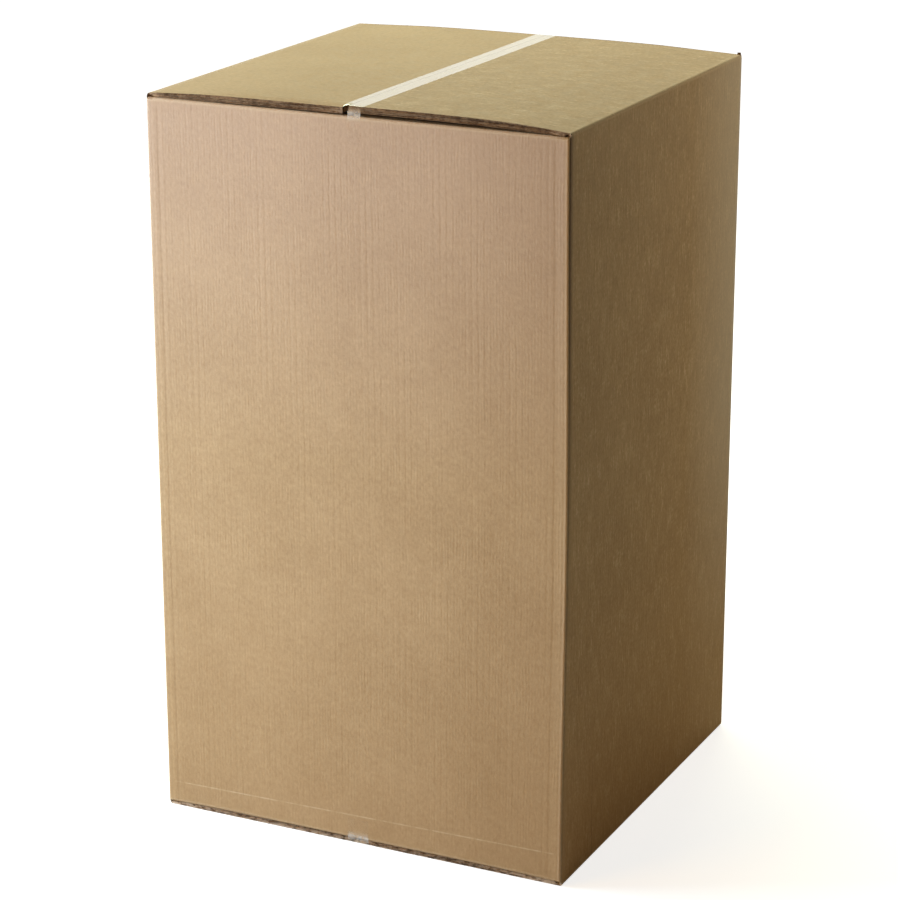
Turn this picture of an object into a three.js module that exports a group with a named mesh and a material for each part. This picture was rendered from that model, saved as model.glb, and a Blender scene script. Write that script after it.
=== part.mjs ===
// A tall moving carton of double-wall corrugated board, closed and taped.
//
// Millimetres, +Z up. The origin lies on the floor under the middle of the carton.
// The front panel faces -Y and the right panel faces +X.
//
// The carton is one blank: four walls, four flaps at the top and four at the bottom,
// creased, slotted between the flaps and closed by a glued tab at the back left corner.
// It is built here as that blank. A grid of columns runs round the walls and a grid of
// rows runs from the ends of the bottom flaps, up a wall, to the ends of the top flaps.
// Each crossing has a place on the outside liner and one on the inside liner, and the
// slots are the cells that are left out. So walls, folds and flaps are one solid.

import * as THREE from 'three';
import { mergeVertices } from 'three/addons/utils/BufferGeometryUtils.js';

// Driving dimensions: the carton
const INSIDE_WIDTH = 457;
const INSIDE_DEPTH = 457;
const FRONT_HEIGHT = 787; // floor to the fold at the top of the front panel
const CORNER_BOW = 2.7; // how far the front right corner leans out at half height

// Driving dimensions: the board, from the inside liner outwards
const LINER = 0.4;
const C_FLUTE = 3.1;
const B_FLUTE = 2.3;
const BOARD = 3 * LINER + C_FLUTE + B_FLUTE;
const CREASED_BOARD = 3.7; // crushed at a score
const FLOOR_BOARD = 5.3; // the flaps that the carton stands on, pressed by its weight
const SWELL_RUN = 100; // distance from a score to board of full thickness
const FLUTE_SETBACK = 2.5; // how far the flutes stand back between the liners of a cut edge

// Driving dimensions: the folds
const FOLD_RADIUS = 2.6; // outside of a flap's fold
const CORNER_RADIUS = 3; // outside of an upright fold, and half of the slot between flaps
const INNER_RADIUS = 1; // inside of every fold

// Driving dimensions: the closing of the flaps
const SEAM_GAP = 1.2; // between flaps that meet
const STACK_GAP = 0.4; // between an outer flap and the inner flap under it
const LIFT_AT_HINGE = -0.3; // underside of an outer flap above the front panel's fold
const LIFT_AT_SEAM = 3.1;
const LIFT_RUN = 175;
const SETTLE_RUN = 80; // distance in which an inner flap rises against the outer ones
const DROOP_SHARE = 0.65; // how much of its lift the left flap loses at its crushed front edge
const DROOP_RUN = 14;
const SEAM_X_FRONT = -1.5; // where the top seam crosses the front edge
const SEAM_X_BACK = 6.5; // and the back edge: the flaps meet a little out of square
const SEAM_X_BOTTOM = -1;

// Driving dimensions: the glued tab of the maker's joint
const TAB_WIDTH = 38;
const TAB_THICKNESS = 4.5;
const TAB_END = 15; // the tab stops this far from the folds
const TAB_BEVEL = 3;

// Driving dimensions: the packing tape
const TAPE_WIDTH = 25;
const TAPE_THICKNESS = 0.2;
const TAPE_LEG = 28; // how far a tape runs on down the front and back panels
const TAPE_CLEARANCE = 0.3; // between the tape and the cut edge that it turns over
const CHANNEL_MARGIN = 2; // the bottom flaps give way this much beside the tape
const CHANNEL_SLOPE = 6;

// Worked out from those
const WIDTH = INSIDE_WIDTH + 2 * BOARD;
const DEPTH = INSIDE_DEPTH + 2 * BOARD;
const INNER_LINER_TOP = LINER / BOARD;
const MIDDLE_LINER_BASE = (LINER + C_FLUTE) / BOARD;
const MIDDLE_LINER_TOP = (2 * LINER + C_FLUTE) / BOARD;
const OUTER_LINER_BASE = 1 - LINER / BOARD;

// How finely the blank is divided
const FOLD_STEPS = 3;
const FLAP_ROWS = 5; // from the fold to the strip beside the seam
const ROW_CROWDING = 1.7; // rows stand closer together near the fold
const COLUMN_SHARES = [0.4, 0.7, 0.93]; // of half a flap's width, on the flaps
const WALL_SHARES = [0.25, 0.5, 0.75]; // of a wall's height
const WELD = 1e-4; // points closer than this are one point

const easeOut = (x) => 1 - (1 - THREE.MathUtils.clamp(x, 0, 1)) ** 2;
const mix = THREE.MathUtils.lerp;

// The four walls, in order round the carton seen from above. A place on a wall is t,
// along it to the right as seen from outside, s, inwards from its outside face, and z.
const PANELS = [
	{ turn: 0, run: WIDTH / 2, out: DEPTH / 2, hasOuterFlaps: false },
	{ turn: 1, run: DEPTH / 2, out: WIDTH / 2, hasOuterFlaps: true },
	{ turn: 2, run: WIDTH / 2, out: DEPTH / 2, hasOuterFlaps: false, leadsToTab: true },
	{ turn: 3, run: DEPTH / 2, out: WIDTH / 2, hasOuterFlaps: true, crushedAt: 1, tabAt: -1 },
];
const [, rightPanel] = PANELS;

function onPanel(panel, t, s, z) {
	const point = new THREE.Vector3(t, s - panel.out, z);
	for (let quarter = 0; quarter < panel.turn; quarter++) point.set(-point.y, point.x, z);
	return point;
}

// The board's thickness at a distance s from the plane of the fold.
function thicknessAt(s, full) {
	return mix(CREASED_BOARD, full, easeOut((s - FOLD_RADIUS) / SWELL_RUN));
}

// The underside of an outer top flap, above the front panel's fold. The left flap's
// front edge is crushed, so it loses most of its lift there.
function liftAt(s, panel, t) {
	const lift = mix(LIFT_AT_HINGE, LIFT_AT_SEAM, easeOut(s / LIFT_RUN));
	if (!panel.crushedAt) return lift;
	const fromEdge = panel.run - CORNER_RADIUS - t * panel.crushedAt;
	const crushed = 1 - easeOut(fromEdge / DROOP_RUN);
	return lift - DROOP_SHARE * crushed * Math.max(lift, 0);
}

// Each kind of flap: how far it reaches from the plane of its fold, and the heights of
// its outside and inside liners. The outside liner of a bottom flap faces the floor.
function seamX(y) {
	return mix(SEAM_X_FRONT, SEAM_X_BACK, 0.5 + y / DEPTH);
}

function reachToSeam(panel, x) {
	const side = onPanel(panel, 0, 0, 0).x > 0 ? 1 : -1;
	return WIDTH / 2 - side * x - SEAM_GAP / 2;
}

const outerTopFlap = {
	reach: (panel, t) => reachToSeam(panel, seamX(onPanel(panel, t, 0, 0).y)),
	outside: (panel, t, s) => FRONT_HEIGHT + liftAt(s, panel, t) + thicknessAt(s, BOARD),
	inside: (panel, t, s) => FRONT_HEIGHT + liftAt(s, panel, t),
};

const innerTopFlap = {
	reach: () => Math.min(WIDTH, DEPTH) / 2 - SEAM_GAP / 2,
	outside: (panel, t, s) => {
		const room = liftAt(WIDTH / 2 - Math.abs(t), rightPanel, 0) - STACK_GAP;
		const settled = THREE.MathUtils.smoothstep(s, 0, SETTLE_RUN);
		return FRONT_HEIGHT + mix(Math.min(room, 0), room, settled);
	},
	inside: (panel, t, s) => innerTopFlap.outside(panel, t, s) - thicknessAt(s, BOARD),
};

const outerBottomFlap = {
	reach: (panel) => reachToSeam(panel, SEAM_X_BOTTOM),
	outside: (panel, t, s) => {
		const channel = outerBottomFlap.reach(panel) - TAPE_WIDTH / 2 - CHANNEL_MARGIN;
		return TAPE_THICKNESS * THREE.MathUtils.clamp((s - channel) / CHANNEL_SLOPE + 1, 0, 1);
	},
	inside: (panel, t, s) => thicknessAt(s, FLOOR_BOARD) + outerBottomFlap.outside(panel, t, s),
};

const innerBottomFlap = {
	reach: () => Math.min(WIDTH, DEPTH) / 2 - SEAM_GAP / 2,
	outside: (panel, t) => {
		const fromSide = WIDTH / 2 - Math.abs(t);
		return thicknessAt(fromSide, FLOOR_BOARD) + TAPE_THICKNESS + STACK_GAP;
	},
	inside: (panel, t, s) => innerBottomFlap.outside(panel, t) + thicknessAt(s, BOARD),
};

function flapOf(panel, atTop) {
	if (panel.hasOuterFlaps) return atTop ? outerTopFlap : outerBottomFlap;
	return atTop ? innerTopFlap : innerBottomFlap;
}

// The distance from the fold's plane of a row of a flap, on the outside liner. Row 0 is
// the end of the fold, and the last two rows bound the strip beside the seam.
function rowDistance(reach, row) {
	const strip = TAPE_WIDTH / 2 + CHANNEL_MARGIN;
	const last = reach - strip - CHANNEL_SLOPE;
	if (row <= FLAP_ROWS) return mix(FOLD_RADIUS, last, (row / FLAP_ROWS) ** ROW_CROWDING);
	return row === FLAP_ROWS + 1 ? reach - strip : reach;
}

// A place in the board of a flap. The row counts fold steps first and then the rows of
// the flap, and w goes from 0 on the inside liner to 1 on the outside liner.
function flapPoint(panel, atTop, row, t, w) {
	const flap = flapOf(panel, atTop);
	const up = atTop ? 1 : -1;
	const reach = flap.reach(panel, t);
	const innerStart = BOARD + INNER_RADIUS;
	const outside = new THREE.Vector2();
	const inside = new THREE.Vector2();
	let innerT = t;
	if (row <= FOLD_STEPS) {
		const angle = (row / FOLD_STEPS) * Math.PI / 2;
		const back = 1 - Math.cos(angle);
		const rise = 1 - Math.sin(angle);
		const outerZ = flap.outside(panel, t, FOLD_RADIUS);
		const innerZ = flap.inside(panel, t, innerStart);
		outside.set(FOLD_RADIUS * back, outerZ - up * FOLD_RADIUS * rise);
		inside.set(BOARD + INNER_RADIUS * back, innerZ - up * INNER_RADIUS * rise);
		innerT = mix(innerRun(panel, t), t, row / FOLD_STEPS);
	} else {
		const s = rowDistance(reach, row - FOLD_STEPS);
		const innerS = mix(innerStart, reach, (s - FOLD_RADIUS) / (reach - FOLD_RADIUS));
		outside.set(s, flap.outside(panel, t, s));
		inside.set(innerS, flap.inside(panel, t, innerS));
	}

	const from = onPanel(panel, innerT, inside.x, inside.y);
	return from.lerp(onPanel(panel, t, outside.x, outside.y), w);
}

// The inside liner of a wall is narrower than the outside one, by the board at each end.
function innerRun(panel, t) {
	const end = panel.run - BOARD - INNER_RADIUS;
	return THREE.MathUtils.clamp(t, -end, end);
}

// The columns of the grid. A column on a panel has its t, and one in a corner has a step
// from 1 to 3 of the 4 that lead from one panel's last column to the next one's first.
const CORNER_STEPS = 4;

function flapHalfWidth(panel) {
	return panel.run - (panel.hasOuterFlaps ? CORNER_RADIUS : BOARD + INNER_RADIUS);
}

function panelColumns(panel) {
	const half = flapHalfWidth(panel);
	const [middle, ...outer] = COLUMN_SHARES.map((share) => share * half);
	const byTheSlot = panel.hasOuterFlaps ? [half - DROOP_RUN, half - DROOP_RUN / 3] : outer;
	const right = [middle, ...byTheSlot, half];
	const all = [...right.map((t) => -t), 0, ...right];
	if (panel.tabAt) {
		const tabEdge = panel.tabAt * (panel.run - BOARD - TAB_WIDTH);
		all.push(tabEdge, tabEdge - panel.tabAt * TAB_BEVEL);
	}

	return all.sort((a, b) => a - b).map((t) => ({ panel, t }));
}

const columns = [];
for (const panel of PANELS) {
	columns.push(...panelColumns(panel));
	const next = PANELS[(panel.turn + 1) % 4];
	for (let step = 1; step < CORNER_STEPS; step++) columns.push({ corner: panel, next, step });
}

const columnAt = (i) => columns[(i + columns.length) % columns.length];

// The outside and inside outlines of the walls, seen from above, at a corner column. At
// the maker's joint the fold sits inside the left panel, whose cut edge stands proud.
function cornerOutline(column) {
	const panel = column.corner;
	const inwards = panel.run - BOARD;
	const bend = (radius, centre, angle) => [
		centre + radius * Math.sin(angle),
		panel.run - centre - radius * Math.cos(angle),
	];
	const lead = panel.hasOuterFlaps ? 0 : 1;
	const outerAngle = (column.step - lead) / (CORNER_STEPS - 1) * Math.PI / 2;
	const innerAngle = column.step / CORNER_STEPS * Math.PI / 2;
	const inside = bend(INNER_RADIUS, inwards - INNER_RADIUS, innerAngle);
	let outside = bend(CORNER_RADIUS, panel.run - CORNER_RADIUS, outerAngle);
	if (column.next.tabAt) {
		const half = Math.SQRT1_2 * INNER_RADIUS;
		const fold = [inwards - INNER_RADIUS + half, INNER_RADIUS - half];
		outside = [fold, [inwards, INNER_RADIUS], [inwards, CORNER_RADIUS]][column.step - 1];
	}

	return { outside, inside };
}

// Where a wall's outside and inside liners end, at the first fold of the flap there.
function wallEnd(column, atTop) {
	const { panel, t } = column;
	const flap = flapOf(panel, atTop);
	const up = atTop ? 1 : -1;
	return {
		outside: flap.outside(panel, t, FOLD_RADIUS) - up * FOLD_RADIUS,
		inside: flap.inside(panel, t, BOARD + INNER_RADIUS) - up * INNER_RADIUS,
	};
}

function cornerEnd(column, atTop) {
	const from = wallEnd({ panel: column.corner, t: flapHalfWidth(column.corner) }, atTop);
	const to = wallEnd({ panel: column.next, t: -flapHalfWidth(column.next) }, atTop);
	const share = column.step / CORNER_STEPS;
	return {
		outside: mix(from.outside, to.outside, share),
		inside: mix(from.inside, to.inside, share),
	};
}

// The glued tab thickens the inside of the left panel beside the joint.
function tabInset(column, share) {
	const fromEnd = Math.min(share, 1 - share) * FRONT_HEIGHT;
	const rise = THREE.MathUtils.clamp((fromEnd - TAB_END) / TAB_BEVEL, 0, 1);
	if (column.corner) return column.next.tabAt ? rise * TAB_THICKNESS : 0;
	const { panel, t } = column;
	if (panel.leadsToTab) return t === flapHalfWidth(panel) ? rise * TAB_THICKNESS : 0;
	if (!panel.tabAt) return 0;
	const pastEdge = t * panel.tabAt - (panel.run - BOARD - TAB_WIDTH);
	return rise * TAB_THICKNESS * THREE.MathUtils.clamp(pastEdge / TAB_BEVEL + 1, 0, 1);
}

// The walls stand a little out of true: one corner leans out at half height.
function bow(point) {
	const height = Math.sin(Math.PI * point.z / FRONT_HEIGHT) ** 2;
	const share = (0.5 + point.x / WIDTH) * (0.5 - point.y / DEPTH);
	point.x += CORNER_BOW * height * share;
	return point;
}

// A place in the board of a wall, at a share of the height between its two folds.
function wallPoint(column, share, w) {
	const inCorner = Boolean(column.corner);
	const panel = inCorner ? column.corner : column.panel;
	const bottom = inCorner ? cornerEnd(column, false) : wallEnd(column, false);
	const top = inCorner ? cornerEnd(column, true) : wallEnd(column, true);
	const plan = inCorner
		? cornerOutline(column)
		: { outside: [column.t, 0], inside: [innerRun(panel, column.t), BOARD] };
	const inside = onPanel(panel, ...plan.inside, mix(bottom.inside, top.inside, share));
	inside.x += tabInset(column, share);
	const outside = onPanel(panel, ...plan.outside, mix(bottom.outside, top.outside, share));
	return bow(inside.lerp(outside, w));
}

// The rows of the grid, from the ends of the bottom flaps to the ends of the top flaps.
const FLAP_STEPS = FOLD_STEPS + FLAP_ROWS + 2;
const tabStart = TAB_END / FRONT_HEIGHT;
const tabFull = (TAB_END + TAB_BEVEL) / FRONT_HEIGHT;
const wallShares = [0, tabStart, tabFull, ...WALL_SHARES, 1 - tabFull, 1 - tabStart, 1];
const rows = [];
for (let step = FLAP_STEPS; step > 0; step--) rows.push({ atTop: false, step });
for (const share of wallShares) rows.push({ share });
for (let step = 1; step <= FLAP_STEPS; step++) rows.push({ atTop: true, step });

const isWall = (row) => row.share !== undefined;

function boardPoint(column, row, w, setback = 0) {
	if (isWall(row)) return wallPoint(column, row.share, w);
	return flapPoint(column.panel, row.atTop, row.step, column.t + setback, w);
}

// A cell is board where it lies in the walls, or where both its columns are on one flap.
function isBoard(i, j) {
	if (j < 0 || j >= rows.length - 1) return false;
	if (isWall(rows[j]) && isWall(rows[j + 1])) return true;
	const left = columnAt(i);
	const right = columnAt(i + 1);
	return !left.corner && !right.corner && left.panel === right.panel;
}

// Collects the faces of one closed solid.
class Skin {
	positions = [];

	triangle(a, b, c) {
		for (const point of [a, b, c]) this.positions.push(point.x, point.y, point.z);
	}

	quad(a, b, c, d) {
		this.triangle(a, b, c);
		this.triangle(a, c, d);
	}

	// A band of faces between two lines with as many points each.
	band(first, second) {
		for (let k = 0; k < first.length - 1; k++) {
			this.quad(first[k], second[k], second[k + 1], first[k + 1]);
		}
	}

	geometry() {
		const loose = new THREE.BufferGeometry();
		loose.setAttribute('position', new THREE.Float32BufferAttribute(this.positions, 3));
		const merged = mergeVertices(loose, WELD);
		const index = merged.getIndex();
		const kept = [];
		for (let k = 0; k < index.count; k += 3) {
			const corners = [index.getX(k), index.getX(k + 1), index.getX(k + 2)];
			if (new Set(corners).size === 3) kept.push(...corners);
		}

		merged.setIndex(kept);
		merged.computeVertexNormals();
		return merged;
	}
}

// The line across a cut edge from the outside liner to the inside one. Between the
// liners it steps back by the setback, where the open flutes are.
function cutEdge(column, row, setback) {
	const at = (w, back) => boardPoint(column, row, w, back);
	return [
		at(1, 0),
		at(OUTER_LINER_BASE, 0),
		at(OUTER_LINER_BASE, setback),
		at(MIDDLE_LINER_TOP, setback),
		at(MIDDLE_LINER_TOP, 0),
		at(MIDDLE_LINER_BASE, 0),
		at(MIDDLE_LINER_BASE, setback),
		at(INNER_LINER_TOP, setback),
		at(INNER_LINER_TOP, 0),
		at(0, 0),
	];
}

// The flutes stand back on the side edges of the outer flaps, which are cut along them.
function setbackAt(column, row, inwards) {
	if (isWall(row) || !column.panel.hasOuterFlaps) return 0;
	const open = row.step > FOLD_STEPS + 1 && row.step < FLAP_STEPS;
	return open ? inwards * FLUTE_SETBACK : 0;
}

function cartonGeometry() {
	const skin = new Skin();
	for (let i = 0; i < columns.length; i++) {
		for (let j = 0; j < rows.length - 1; j++) {
			if (!isBoard(i, j)) continue;
			const left = columnAt(i);
			const right = columnAt(i + 1);
			const low = rows[j];
			const high = rows[j + 1];
			const lowLine = (w) => [boardPoint(left, low, w), boardPoint(right, low, w)];
			const highLine = (w) => [boardPoint(left, high, w), boardPoint(right, high, w)];
			skin.band(highLine(1), lowLine(1));
			skin.band(lowLine(0), highLine(0));
			if (!isBoard(i - 1, j)) {
				const lowEdge = cutEdge(left, low, setbackAt(left, low, 1));
				skin.band(lowEdge, cutEdge(left, high, setbackAt(left, high, 1)));
			}

			if (!isBoard(i + 1, j)) {
				const highEdge = cutEdge(right, high, setbackAt(right, high, -1));
				skin.band(highEdge, cutEdge(right, low, setbackAt(right, low, -1)));
			}

			if (!isBoard(i, j + 1)) skin.band(cutEdge(left, high, 0), cutEdge(right, high, 0));
			if (!isBoard(i, j - 1)) skin.band(cutEdge(right, low, 0), cutEdge(left, low, 0));
		}
	}

	return skin.geometry();
}

// A strip of tape along a path in Y and Z, given as the line of its sticky side from
// the front leg to the back leg, with its middle at centreX(y).
function tapeGeometry(path, centreX) {
	const normals = path.map((point, k) => {
		const before = path[Math.max(k - 1, 0)];
		const after = path[Math.min(k + 1, path.length - 1)];
		const into = k > 0 ? point.clone().sub(before).normalize() : after.clone().sub(point).normalize();
		const on = k < path.length - 1 ? after.clone().sub(point).normalize() : into;
		const across = (line) => new THREE.Vector2(-line.y, line.x);
		const middle = across(into).add(across(on)).normalize();
		return middle.divideScalar(middle.dot(across(into)));
	});
	const outline = [[-1, 1], [1, 1], [1, 0], [-1, 0], [-1, 1]];
	const section = (k) => outline.map(([side, w]) => {
		const at = path[k].clone().addScaledVector(normals[k], w * TAPE_THICKNESS);
		return new THREE.Vector3(centreX(path[k].x) + side * TAPE_WIDTH / 2, at.x, at.y);
	});
	const skin = new Skin();
	for (let k = 0; k < path.length - 1; k++) skin.band(section(k + 1), section(k));
	const first = section(0);
	const last = section(path.length - 1);
	skin.quad(first[0], first[3], first[2], first[1]);
	skin.quad(last[0], last[1], last[2], last[3]);
	return skin.geometry();
}

// Half of a tape's path in front of the middle, repeated behind it.
function mirrored(half) {
	const back = half.map((point) => new THREE.Vector2(-point.x, point.y)).reverse();
	return [...half, ...back];
}

const edgeY = -(DEPTH / 2 - CORNER_RADIUS + TAPE_CLEARANCE);

function topTapeGeometry() {
	const flapTop = outerTopFlap.outside(rightPanel, 0, outerTopFlap.reach(rightPanel, 0));
	const path = mirrored([
		new THREE.Vector2(-DEPTH / 2, FRONT_HEIGHT - TAPE_LEG),
		new THREE.Vector2(-DEPTH / 2, FRONT_HEIGHT - FOLD_RADIUS / 2),
		new THREE.Vector2(edgeY, flapTop),
	]);
	return tapeGeometry(path, seamX);
}

function bottomTapeGeometry() {
	const panelStart = innerBottomFlap.outside(PANELS[0], SEAM_X_BOTTOM);
	const path = mirrored([
		new THREE.Vector2(-DEPTH / 2, TAPE_LEG),
		new THREE.Vector2(-DEPTH / 2, panelStart + FOLD_RADIUS / 2),
		new THREE.Vector2(edgeY, TAPE_THICKNESS),
	]);
	return tapeGeometry(path.reverse(), () => SEAM_X_BOTTOM);
}

// Finishes
const kraftBoard = new THREE.MeshStandardMaterial({ color: 0xb8946a, roughness: 0.85, metalness: 0 });
const clearTape = new THREE.MeshStandardMaterial({
	color: 0xe8e2d2,
	roughness: 0.2,
	metalness: 0,
	transparent: true,
	opacity: 0.5,
});

const movingCarton = new THREE.Group();

function addPiece(name, geometry, material) {
	const piece = new THREE.Mesh(geometry, material);
	piece.name = name;
	movingCarton.add(piece);
}

addPiece('carton', cartonGeometry(), kraftBoard);
addPiece('top_tape', topTapeGeometry(), clearTape);
addPiece('bottom_tape', bottomTapeGeometry(), clearTape);

// The leaning corner makes the overall box wider on one side, so the carton is moved
// until the origin lies under the middle of that box.
const overall = new THREE.Box3().setFromObject(movingCarton);
const middle = overall.getCenter(new THREE.Vector3());
for (const piece of movingCarton.children) {
	piece.geometry.translate(-middle.x, -middle.y, -overall.min.z);
}

export default movingCarton;
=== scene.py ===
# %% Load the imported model
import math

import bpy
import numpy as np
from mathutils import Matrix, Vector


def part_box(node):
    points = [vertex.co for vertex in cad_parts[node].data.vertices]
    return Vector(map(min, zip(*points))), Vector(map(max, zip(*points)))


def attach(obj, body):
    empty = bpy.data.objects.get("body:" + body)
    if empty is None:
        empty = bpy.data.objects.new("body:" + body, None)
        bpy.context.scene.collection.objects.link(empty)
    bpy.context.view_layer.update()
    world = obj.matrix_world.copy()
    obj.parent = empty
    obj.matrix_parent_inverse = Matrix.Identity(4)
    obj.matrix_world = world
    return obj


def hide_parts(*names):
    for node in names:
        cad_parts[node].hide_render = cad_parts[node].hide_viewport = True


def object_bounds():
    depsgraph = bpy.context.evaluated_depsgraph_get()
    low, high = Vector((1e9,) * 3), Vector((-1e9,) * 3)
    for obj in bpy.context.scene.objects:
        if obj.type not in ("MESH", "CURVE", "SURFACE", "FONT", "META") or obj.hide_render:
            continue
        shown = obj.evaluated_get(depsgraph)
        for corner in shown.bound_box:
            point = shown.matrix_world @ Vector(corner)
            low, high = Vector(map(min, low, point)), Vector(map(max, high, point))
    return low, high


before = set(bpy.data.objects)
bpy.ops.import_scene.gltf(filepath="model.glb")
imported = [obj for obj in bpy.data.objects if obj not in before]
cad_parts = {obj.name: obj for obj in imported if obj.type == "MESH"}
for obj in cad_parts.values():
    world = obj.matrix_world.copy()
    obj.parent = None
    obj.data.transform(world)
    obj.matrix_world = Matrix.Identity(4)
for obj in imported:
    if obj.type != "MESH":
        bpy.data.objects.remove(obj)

# %% [markdown]
# # A tall moving box, closed and taped
#
# The box is one sheet of double-wall corrugated board. It is creased and slotted when it
# is flat, and this lesson builds it in the same way: every place on the flat blank, round
# the walls and up from the ends of the bottom flaps to the ends of the top flaps, is sent
# to its place on the closed box. Lengths are in millimetres here, as a box maker gives
# them, and become metres when a mesh is made.

CAD_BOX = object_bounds()
MM = 0.001

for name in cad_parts:
    low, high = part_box(name)
    print(name, [round(x, 4) for x in low], [round(x, 4) for x in high])

# %% [markdown]
# ## The sizes of the carton
#
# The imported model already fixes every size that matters. They are named again here,
# because a finer skin has to follow the same folds, lifts and slots.

# %% Sizes, in millimetres
BOARD = 6.6
LINER = 0.4
C_FLUTE = 3.1
B_FLUTE = 2.3
CREASED_BOARD = 3.7
FLOOR_BOARD = 5.3
SWELL_RUN = 100.0
INSIDE = 457.0
WIDTH = INSIDE + 2 * BOARD  # outside, and the same from front to back
HALF = WIDTH / 2
HEIGHT = 787.0  # floor to the fold at the top of the front panel
CORNER_BOW = 2.7
FOLD_RADIUS = 2.6
CORNER_RADIUS = 3.0
INNER_RADIUS = 1.0
SEAM_GAP = 1.2
STACK_GAP = 0.4
LIFT_AT_HINGE = -0.3
LIFT_AT_SEAM = 3.1
LIFT_RUN = 175.0
SETTLE_RUN = 80.0
DROOP_SHARE = 0.65
DROOP_RUN = 14.0
BACK_SAG = 2.5  # how much less the flaps spring up at the back
SAG_RUN = 70.0
SEAM_X_FRONT = -4.0
SEAM_X_BACK = 2.0
SEAM_X_BOTTOM = -1.0
TAB_WIDTH = 38.0
TAB_THICKNESS = 4.5
TAB_END = 15.0
TAB_BEVEL = 3.0
TAPE_WIDTH = 25.0
TAPE_THICKNESS = 0.2
TAPE_LEG = 28.0
CHANNEL_MARGIN = 2.0
CHANNEL_SLOPE = 6.0
TORN_REACH = 6.0  # the left flap's corner by the seam is torn off by this much
TORN_LENGTH = 11.0

# The model's origin lies under the middle of its overall box, which the leaning corner
# makes wider on the right, so the blank's own middle lies a little to the left of it.
SHIFT_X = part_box("carton")[0].x / MM + HALF
print("the carton's own middle is at x", round(SHIFT_X, 3), "mm")

# %% [markdown]
# ## Where a place on the blank goes
#
# A panel has its own directions: t runs along it to the right as seen from outside, s runs
# inwards from its outside face and z runs up. A quarter turn for each panel brings that
# to the row's x and y. The four panels are numbered in quarter turns from the front.

# %% Directions on a panel
FRONT, RIGHT, BACK, LEFT = range(4)


def turned(quarter, x, y, z):
    """Points turned by whole quarters about z: each quarter sends (x, y) to (-y, x)."""
    for _ in range(quarter):
        x, y = -y, x
    return np.stack(np.broadcast_arrays(x, y, z), axis=-1)


def on_panel(quarter, t, s, z):
    """A place on a panel: t along it, s inwards from its outside face, z up."""
    return turned(quarter, t, s - HALF, z)


def ease_out(x):
    """A parabola from 0 to 1 that is steep at first: 1 - (1 - x) squared, x held in 0 to 1."""
    return 1 - (1 - np.clip(x, 0, 1)) ** 2


def smooth(x, low, high):
    """The usual smooth step, 3x squared minus 2x cubed, of x between low and high."""
    x = np.clip((x - low) / (high - low), 0, 1)
    return x * x * (3 - 2 * x)


def mix(a, b, share):
    """A straight mix of a and b."""
    return a + (b - a) * share


# %% [markdown]
# ## How thick the board is and how high the flaps lie
#
# Double-wall board is crushed flat along a crease and swells back over the next hand's
# width. The outer flaps spring up towards the seam, where the tape holds them, so a dark
# gap opens under their front edges. The left flap's front edge has been crushed down.


# %% Heights of the flaps
def thickness(s, full):
    """The board's thickness at s from the plane of the fold, crushed at first."""
    return mix(CREASED_BOARD, full, ease_out((s - FOLD_RADIUS) / SWELL_RUN))


def lift(quarter, s, y):
    """Height of an outer top flap's underside above the front fold."""
    up = mix(LIFT_AT_HINGE, LIFT_AT_SEAM, ease_out(s / LIFT_RUN))
    if quarter == LEFT:
        crushed = 1 - ease_out((HALF - CORNER_RADIUS + y) / DROOP_RUN)
        up = up - DROOP_SHARE * crushed * np.maximum(up, 0)
    inside = HALF - BOARD - INNER_RADIUS
    return up - BACK_SAG * ease_out(s / SAG_RUN) * smooth(y, -inside, inside)


def seam_x(y):
    """Where the top seam lies: a straight line, a little out of square."""
    return mix(SEAM_X_FRONT, SEAM_X_BACK, 0.5 + y / WIDTH)


def is_outer(quarter):
    """The flaps of the left and right panels lie outside the others."""
    return quarter in (RIGHT, LEFT)


def reach(quarter, top, t):
    """How far a flap reaches from the plane of its fold."""
    if not is_outer(quarter):
        return np.full_like(t, HALF - SEAM_GAP / 2)
    y = t if quarter == RIGHT else -t
    seam = seam_x(y) if top else SEAM_X_BOTTOM + 0 * t
    far = HALF - (1 if quarter == RIGHT else -1) * seam - SEAM_GAP / 2
    if top and quarter == LEFT:
        far = far - TORN_REACH * smooth(t, HALF - CORNER_RADIUS - TORN_LENGTH, HALF - CORNER_RADIUS - 2)
    return far


def flap_heights(quarter, top, s_out, s_in, t):
    """Heights of a flap's outside liner at s_out and of its inside liner at s_in."""
    if top and is_outer(quarter):
        y = t if quarter == RIGHT else -t
        under = HEIGHT + lift(quarter, s_in, y)
        over = HEIGHT + lift(quarter, s_out, y) + thickness(s_out, BOARD)
        return over, under
    if top:
        heights = []
        for s in (s_out, s_in):
            room = lift(RIGHT, HALF - np.abs(t), (s - HALF) * (1 if quarter == FRONT else -1)) - STACK_GAP
            heights.append(HEIGHT + mix(np.minimum(room, 0), room, smooth(s, 0, SETTLE_RUN)))
        return heights[0], heights[1] - thickness(s_in, BOARD)
    if is_outer(quarter):
        edge = reach(quarter, top, t) - TAPE_WIDTH / 2 - CHANNEL_MARGIN
        channel = lambda s: TAPE_THICKNESS * np.clip((s - edge) / CHANNEL_SLOPE + 1, 0, 1)
        return channel(s_out), thickness(s_in, FLOOR_BOARD) + channel(s_in)
    on_outer = thickness(HALF - np.abs(t), FLOOR_BOARD) + TAPE_THICKNESS + STACK_GAP
    return on_outer + 0 * s_out, on_outer + thickness(s_in, BOARD)


# %% [markdown]
# ## The columns of the blank
#
# Corrugated board shows its flutes through the liner as a faint washboard. A column every
# quarter of a flute lets the mesh itself carry that relief on walls and flaps. Round the
# upright folds, five columns make a smooth bend. At the back left corner the left panel's
# cut edge stands open, with its three liners and the hollows between them.

# %% Columns round the walls
COLUMN_SPACING = 1.82
BEND_STEPS = 5
FLUTE_RECESS = 2.5


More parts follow.
